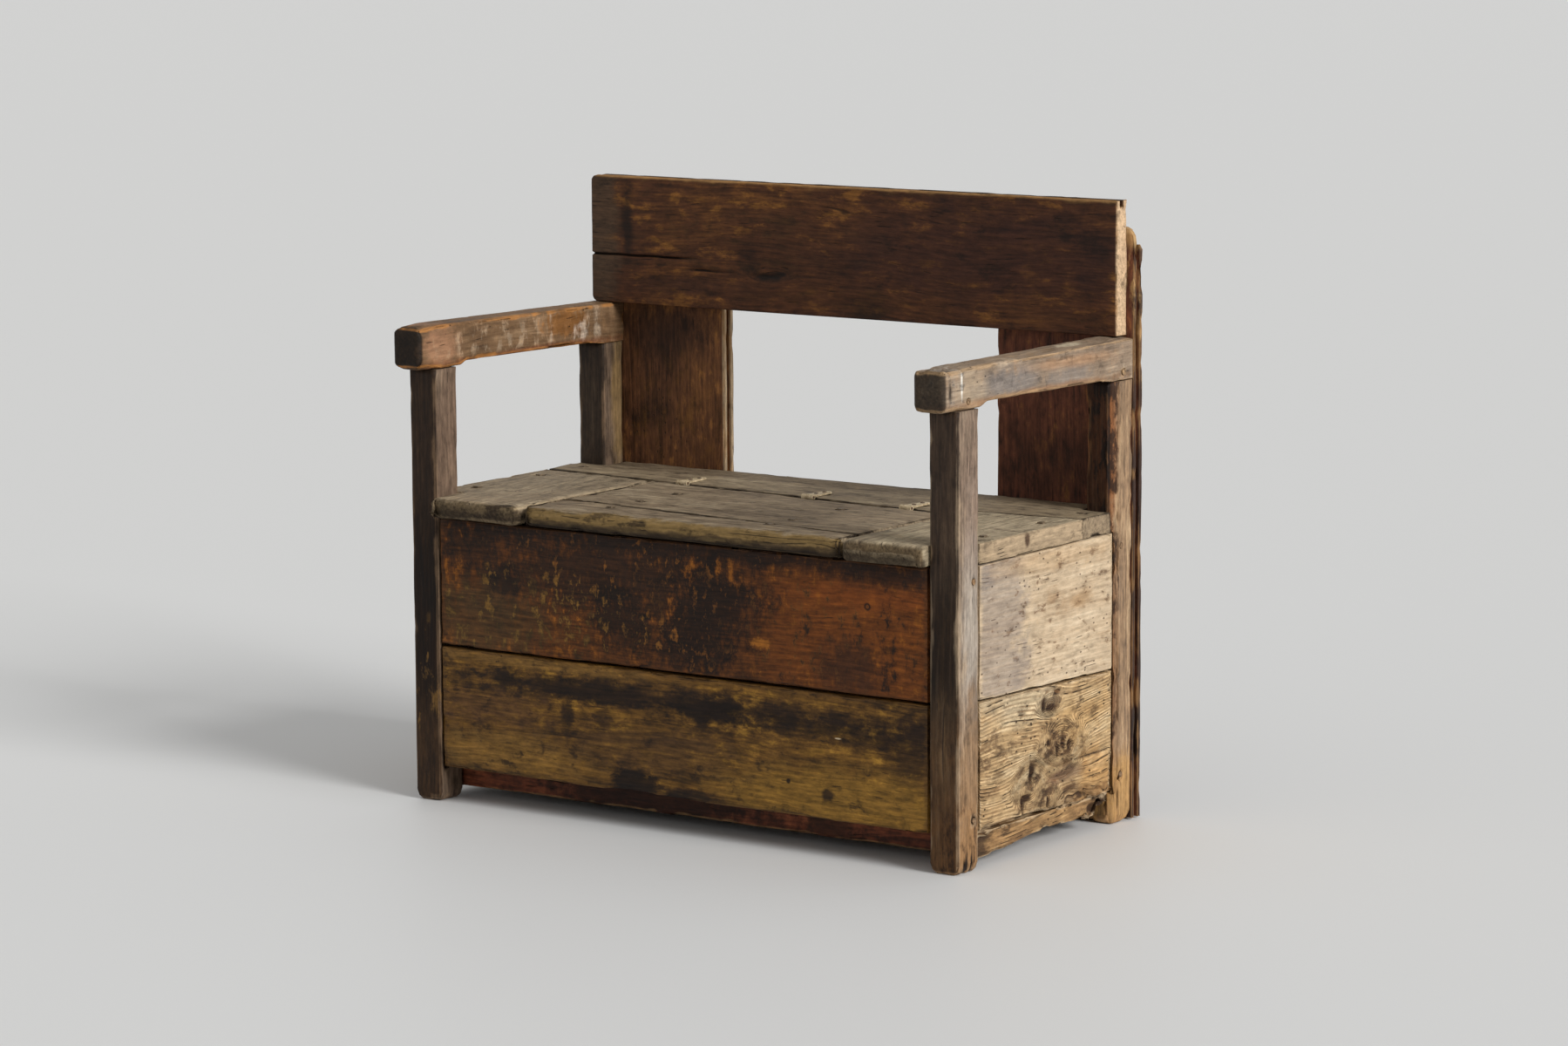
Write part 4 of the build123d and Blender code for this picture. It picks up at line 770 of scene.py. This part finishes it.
wornPiece("lid_front_board", {"wear": 0.002, "chips": 0.0045, "wave": 0.0025, "step": 0.010, "hollows": [
    dent((-0.262, -0.15, 0.449), (0.06, 0.12, 0.014), 0.0025, dirt=0.0),
    dent((-0.260, -0.229, 0.428), (0.020, 0.016, 0.03), 0.007, ragged=0.3, dirt=0.5),
    dent((0.284, -0.229, 0.428), (0.022, 0.018, 0.03), 0.006, ragged=0.3, dirt=0.4),
]}, {
    **seatLook, **dirtyJoints, "seed": 29.0,
    "stainsAndPaintedLight": [
        stainOrPaintedLight("yz", (-0.228, 0.428), (0.014, 0.020), moss, 0.9, soft=0.4, ragged=1.2),
        stainOrPaintedLight("yz", (-0.228, 0.434), (0.012, 0.010), tint(76, 58, 38), 0.6, ragged=2.6, grit=2.8),
        # Painted light: paler tan along the upper round of the nose
        stainOrPaintedLight("yz", (-0.226, 0.438), (0.012, 0.008), tint(150, 122, 74), 0.6, soft=0.3, ragged=2.6, grit=3.0),
        stainOrPaintedLight("yz", (-0.226, 0.430), (0.016, 0.014), tint(44, 33, 22), 0.65, soft=0.6, grit=2.6,
              broken=0.10, level=0.46),
        # Painted shade along the underside of the nose
        stainOrPaintedLight("yz", (-0.222, 0.416), (0.03, 0.010), paintedShade, 0.88),
    ],
})
wornPiece("lid_back_board", {"wear": 0.002, "reach": 0.010, "chips": 0.003, "wave": 0.002, "hollows": [
    dent((-0.262, -0.05, 0.449), (0.05, 0.16, 0.014), 0.0025, dirt=0.0),
]}, {**seatLook, **dirtyJoints, "seed": 30.0})
for index, name in enumerate(("lid_left_batten", "lid_right_batten", "seat_bearer")):
    wornPiece(name, {"cross": 0.012, "step": 0.03}, {"grain": "x" if "bearer" in name else "y", "seed": 31.0 + index})

# Back: brown boards with pale worn edges and some painted highlights, then the hidden boards of the box
backLook = {
    "dark": tint(38, 22, 14), "mid": tint(77, 46, 28), "light": tint(112, 72, 37), "accent": tint(146, 98, 44),
    "accentAmount": 0.7, "blotches": 1.6, "mottles": 1.1, "streaks": 0.6, "mottleScale": 48.0,
    "mottleWay": (0.4, 1.0, 1.0), "wornColour": tint(150, 112, 70), "wornAmount": 0.65,
    "soot": 0.6, "rings": 0.08, "checks": 0.45, "fine": 0.42,
}
wornPiece("back_top_board", {"wear": 0.002, "chips": 0.004, "splits": [
    {"across": "z", "at": 0.760, "from": -0.47, "to": -0.25, "width": 0.0026, "depth": 0.005, "stray": 0.0016},
    {"across": "z", "at": 0.743, "from": -0.26, "to": -0.19, "width": 0.0026, "depth": 0.004, "stray": 0.003},
], "hollows": [
    dent((-0.138, 0.202, 0.740), (0.028, 0.012, 0.006), 0.004, ragged=0.7),
    dent((-0.115, 0.202, 0.746), (0.008, 0.012, 0.008), 0.004, ragged=0.5),
], "rounds": [
    {"axes": "xz", "ends": ((-1, -1), (-1, 1)), "radius": 0.012, "along": "y", "from": 0.1, "to": 0.0},
]}, {
    **backLook, "seed": 34.0,
    "knots": [knot("xz", (-0.13, 0.742), (0.07, 0.02), 0.012)],
    "stainsAndPaintedLight": [
        stainOrPaintedLight("xz", (-0.20, 0.80), (0.24, 0.05), tint(108, 74, 36), 0.6, soft=0.6, broken=0.4),
        stainOrPaintedLight("xz", (0.10, 0.715), (0.30, 0.016), tint(112, 72, 33), 0.55, soft=0.6, broken=0.3),
        stainOrPaintedLight("xz", (0.24, 0.79), (0.24, 0.06), tint(58, 34, 28), 0.6, soft=0.6),
        stainOrPaintedLight("xz", (-0.30, 0.72), (0.12, 0.016), tint(58, 36, 28), 0.6, soft=0.6),
        stainOrPaintedLight("xz", (-0.438, 0.79), (0.030, 0.14), tint(80, 62, 46), 0.75, soft=0.4, ragged=0.9),
        stainOrPaintedLight("xz", (-0.392, 0.815), (0.010, 0.055), black, 0.85, soft=0.6),
        # Pale broken line along the top arris: wear, partly painted highlight
        stainOrPaintedLight("xz", (-0.05, 0.876), (0.5, 0.005), tint(150, 112, 62), 0.6, broken=0.4),
        stainOrPaintedLight("xz", (-0.38, 0.690), (0.09, 0.007), tint(150, 112, 62), 0.6, broken=0.4),
        # Painted shade in the groove of the top edge, with a painted highlight on the front lip
        stainOrPaintedLight("yz", (0.219, 0.879), (0.011, 0.004), black, 0.85, soft=0.4, ragged=0.3, grit=0.4),
        stainOrPaintedLight("yz", (0.203, 0.878), (0.004, 0.003), tint(172, 130, 82), 0.8, ragged=0.6, grit=1.2),
        # Painted light: the sunlit end face made pale cream
        stainOrPaintedLight("xz", (0.459, 0.78), (0.003, 0.14), tint(206, 174, 138), 0.95, soft=0.4, ragged=0.2, grit=0.3),
    ],
})
plankLook = {
    **backLook, "grain": "z", "mid": tint(96, 62, 40), "light": tint(134, 90, 52), "accent": tint(160, 110, 56),
    "streakScale": 40.0, "mottleWay": (1.0, 1.0, 0.45), "wander": 0.03,
}
wornPiece("back_left_plank", {"wear": 0.0012}, {
    **plankLook, "seed": 35.0,
    "stainsAndPaintedLight": [
        stainOrPaintedLight("xz", (-0.33, 0.53), (0.09, 0.08), tint(150, 102, 48), 0.7, soft=0.6, broken=0.4),
        stainOrPaintedLight("xz", (-0.35, 0.655), (0.07, 0.04), umber, 0.75, soft=0.6),
        # Painted highlight along the plank's lit right edge
        stainOrPaintedLight("xz", (-0.236, 0.56), (0.003, 0.3), tint(190, 170, 138), 0.6, ragged=0.3, grit=0.3),
    ],
})
wornPiece("back_right_plank", {"wear": 0.0012, "wave": 0.0003, "rounds": [
    {"axes": "xz", "ends": ((1, 1),), "radius": 0.022, "along": "y", "from": 0.2, "to": 0.1},
], "hollows": [
    dent((0.470, 0.234, 0.806), (0.012, 0.010, 0.012), 0.005, ragged=0.6, dirt=0.2),
    dent((0.470, 0.248, 0.772), (0.012, 0.010, 0.020), 0.005, ragged=0.6, dirt=0.3),
]}, {
    **plankLook, "seed": 36.0, "mid": tint(104, 61, 44), "light": tint(142, 91, 60),
    "stainsAndPaintedLight": [
        stainOrPaintedLight("xz", (0.34, 0.50), (0.10, 0.06), umber, 0.5, soft=0.6),
        stainOrPaintedLight("xz", (0.470, 0.45), (0.003, 0.6), tint(50, 40, 34), 0.85, ragged=0.2, grit=0.3),
        stainOrPaintedLight("xz", (0.465, 0.76), (0.012, 0.12), tint(176, 138, 90), 0.8, broken=0.14, level=0.52),
        stainOrPaintedLight("xz", (0.465, 0.832), (0.014, 0.022), tint(192, 154, 104), 0.8, ragged=1.4),
    ],
})
for index, name in enumerate(("rear_upper_board", "rear_lower_board", "rear_bottom_rail")):
    wornPiece(name, {"step": 0.02, "cross": 0.01}, {"seed": 37.0 + index})
for index in range(1, 6):
    wornPiece("floor_board_%d" % index, {"step": 0.03, "cross": 0.015}, {"grain": "y", "seed": 40.0 + index})
print("wood built")


# Iron: rusted, rubbed paler on the hinge leaves
ironSet = {
    "fleckFiner": 4.0, "rustBand": (0.35, 0.62), "fleckBand": (0.56, 0.68), "fleckAmount": 0.6,
    "fleckHeight": 0.6, "relief": 0.6, "bumpDistance": 0.0006, "roughness": 0.45, "rustRoughness": 0.3,
    "bareBand": (0.6, 0.3), "bareAmount": 0.25,
}


def ironMaterial(look):
    material = openMaterial(look["name"])
    place = Field.node("TexCoord", output="Object")
    rust = noiseAt(place, look["scale"], detail=5.0, roughness=0.65, distortion=0.3)
    flecks = noiseAt(place, look["scale"] * ironSet["fleckFiner"], detail=4.0, roughness=0.6)
    colour = mixColour(smooth(rust, *ironSet["rustBand"]), look["dark"], look["light"])
    colour = mixColour(smooth(flecks, *ironSet["fleckBand"]) * ironSet["fleckAmount"], colour, look["fleck"])
    height = rust + flecks * ironSet["fleckHeight"]
    bump = {"Height": height, "Strength": ironSet["relief"], "Distance": ironSet["bumpDistance"]}
    closeMaterial({
        "Base Color": colour,
        "Roughness": rust * ironSet["rustRoughness"] + ironSet["roughness"],
        "Metallic": smooth(flecks, *ironSet["bareBand"]) * ironSet["bareAmount"],
        "Normal": Field.node("Bump", None, bump),
    })
    return material


def dressNode(name, material):
    node = frame["nodes"][name]
    if node.material_slots:
        for place in node.material_slots:
            place.material = material
    else:
        node.data.materials.append(material)


rustLook = {
    "name": "rusty_iron", "scale": 160.0,
    "dark": tint(46, 32, 24), "light": tint(92, 66, 48), "fleck": tint(128, 84, 52),
}
leafLook = {
    "name": "leaf_iron", "scale": 120.0,
    "dark": tint(168, 148, 114), "light": tint(218, 198, 162), "fleck": tint(146, 112, 78),
}
pegLook = {
    **plainLook, "name": "peg_wood", "seed": 50.0,
    "dark": tint(84, 64, 46), "mid": tint(128, 102, 76), "light": tint(164, 138, 106),
}
headLook = {
    "name": "seat_nail_iron", "scale": 160.0,
    "dark": tint(92, 77, 60), "light": tint(130, 112, 88), "fleck": tint(138, 112, 82),
}
rustyIron = ironMaterial(rustLook)
headIron = ironMaterial(headLook)
leafIron = ironMaterial(leafLook)
pegWood = woodMaterial(pegLook)
for name in frame["nodes"]:
    if name.endswith("leaf"):
        dressNode(name, leafIron)
    elif name in ("seat_nails", "lid_nails"):
        dressNode(name, headIron)
    elif name.endswith("nails") or name.endswith("pin"):
        dressNode(name, rustyIron)
    elif name.endswith("pegs"):
        dressNode(name, pegWood)
print("iron and pegs dressed")

# Camera at the photo's angle, with a plain floor and soft light from the right
stageSet = {
    "place": (3.9814, -5.5771, 1.4424), "yaw": 35.2948, "pitch": 8.5299, "roll": -0.3410, "lens": 112.18,
    "sensor": 36.0, "farEnd": 100.0, "floorRadius": 40.0, "floorSides": 96, "floorRoughness": 0.55,
    "floor": (0.80, 0.80, 0.79, 1.0), "sky": (0.62, 0.62, 0.615, 1.0), "fill": (0.42, 0.42, 0.42, 1.0),
    "sunWay": (-0.90, 0.12, -0.46), "sunSoftness": 24.0, "sunStrength": 2.6,
}


def buildStage():
    data = bpy.data.cameras.new("camera")
    data.sensor_width = stageSet["sensor"]
    data.lens = stageSet["lens"]
    data.clip_end = stageSet["farEnd"]
    camera = bpy.data.objects.new("camera", data)
    turn = Matrix.Rotation(math.radians(stageSet["yaw"]), 4, "Z")
    tilt = Matrix.Rotation(math.radians(90.0 - stageSet["pitch"]), 4, "X")
    roll = Matrix.Rotation(math.radians(stageSet["roll"]), 4, "Z")
    camera.matrix_world = Matrix.Translation(Vector(stageSet["place"])) @ turn @ tilt @ roll
    scene.collection.objects.link(camera)
    scene.camera = camera

    sheet = bmesh.new()
    ring = {"segments": stageSet["floorSides"], "radius": stageSet["floorRadius"]}
    bmesh.ops.create_circle(sheet, cap_ends=True, **ring)
    mesh = bpy.data.meshes.new("floor")
    sheet.to_mesh(mesh)
    sheet.free()
    floor = bpy.data.objects.new("floor", mesh)
    scene.collection.objects.link(floor)
    material = bpy.data.materials.new("floor_paint")
    material.use_nodes = True
    paint = material.node_tree.nodes["Principled BSDF"]
    paint.inputs["Base Color"].default_value = stageSet["floor"]
    paint.inputs["Roughness"].default_value = stageSet["floorRoughness"]
    mesh.materials.append(material)

    lamp = bpy.data.lights.new("key", "SUN")
    lamp.angle = math.radians(stageSet["sunSoftness"])
    lamp.energy = stageSet["sunStrength"]
    key = bpy.data.objects.new("key", lamp)
    key.matrix_world = Vector(stageSet["sunWay"]).to_track_quat("-Z", "Y").to_matrix().to_4x4()
    scene.collection.objects.link(key)

    world = bpy.data.worlds.new("world")
    scene.world = world
    world.use_nodes = True
    Field.tree = world.node_tree
    Field.tree.nodes.clear()
    seen = Field.node("LightPath", output="Is Camera Ray")
    for ray in ("Is Glossy Ray", "Is Transmission Ray"):
        seen = seen.maths("MAXIMUM", Field.node("LightPath", output=ray))
    shown = mixColour(seen, stageSet["fill"], stageSet["sky"])
    back = Field.node("Background", None, {"Color": shown})
    end = Field.tree.nodes.new("ShaderNodeOutputWorld")
    Field.tree.links.new(back.socket, end.inputs["Surface"])
    scene.view_settings.view_transform = "Standard"


buildStage()
print("stage built")
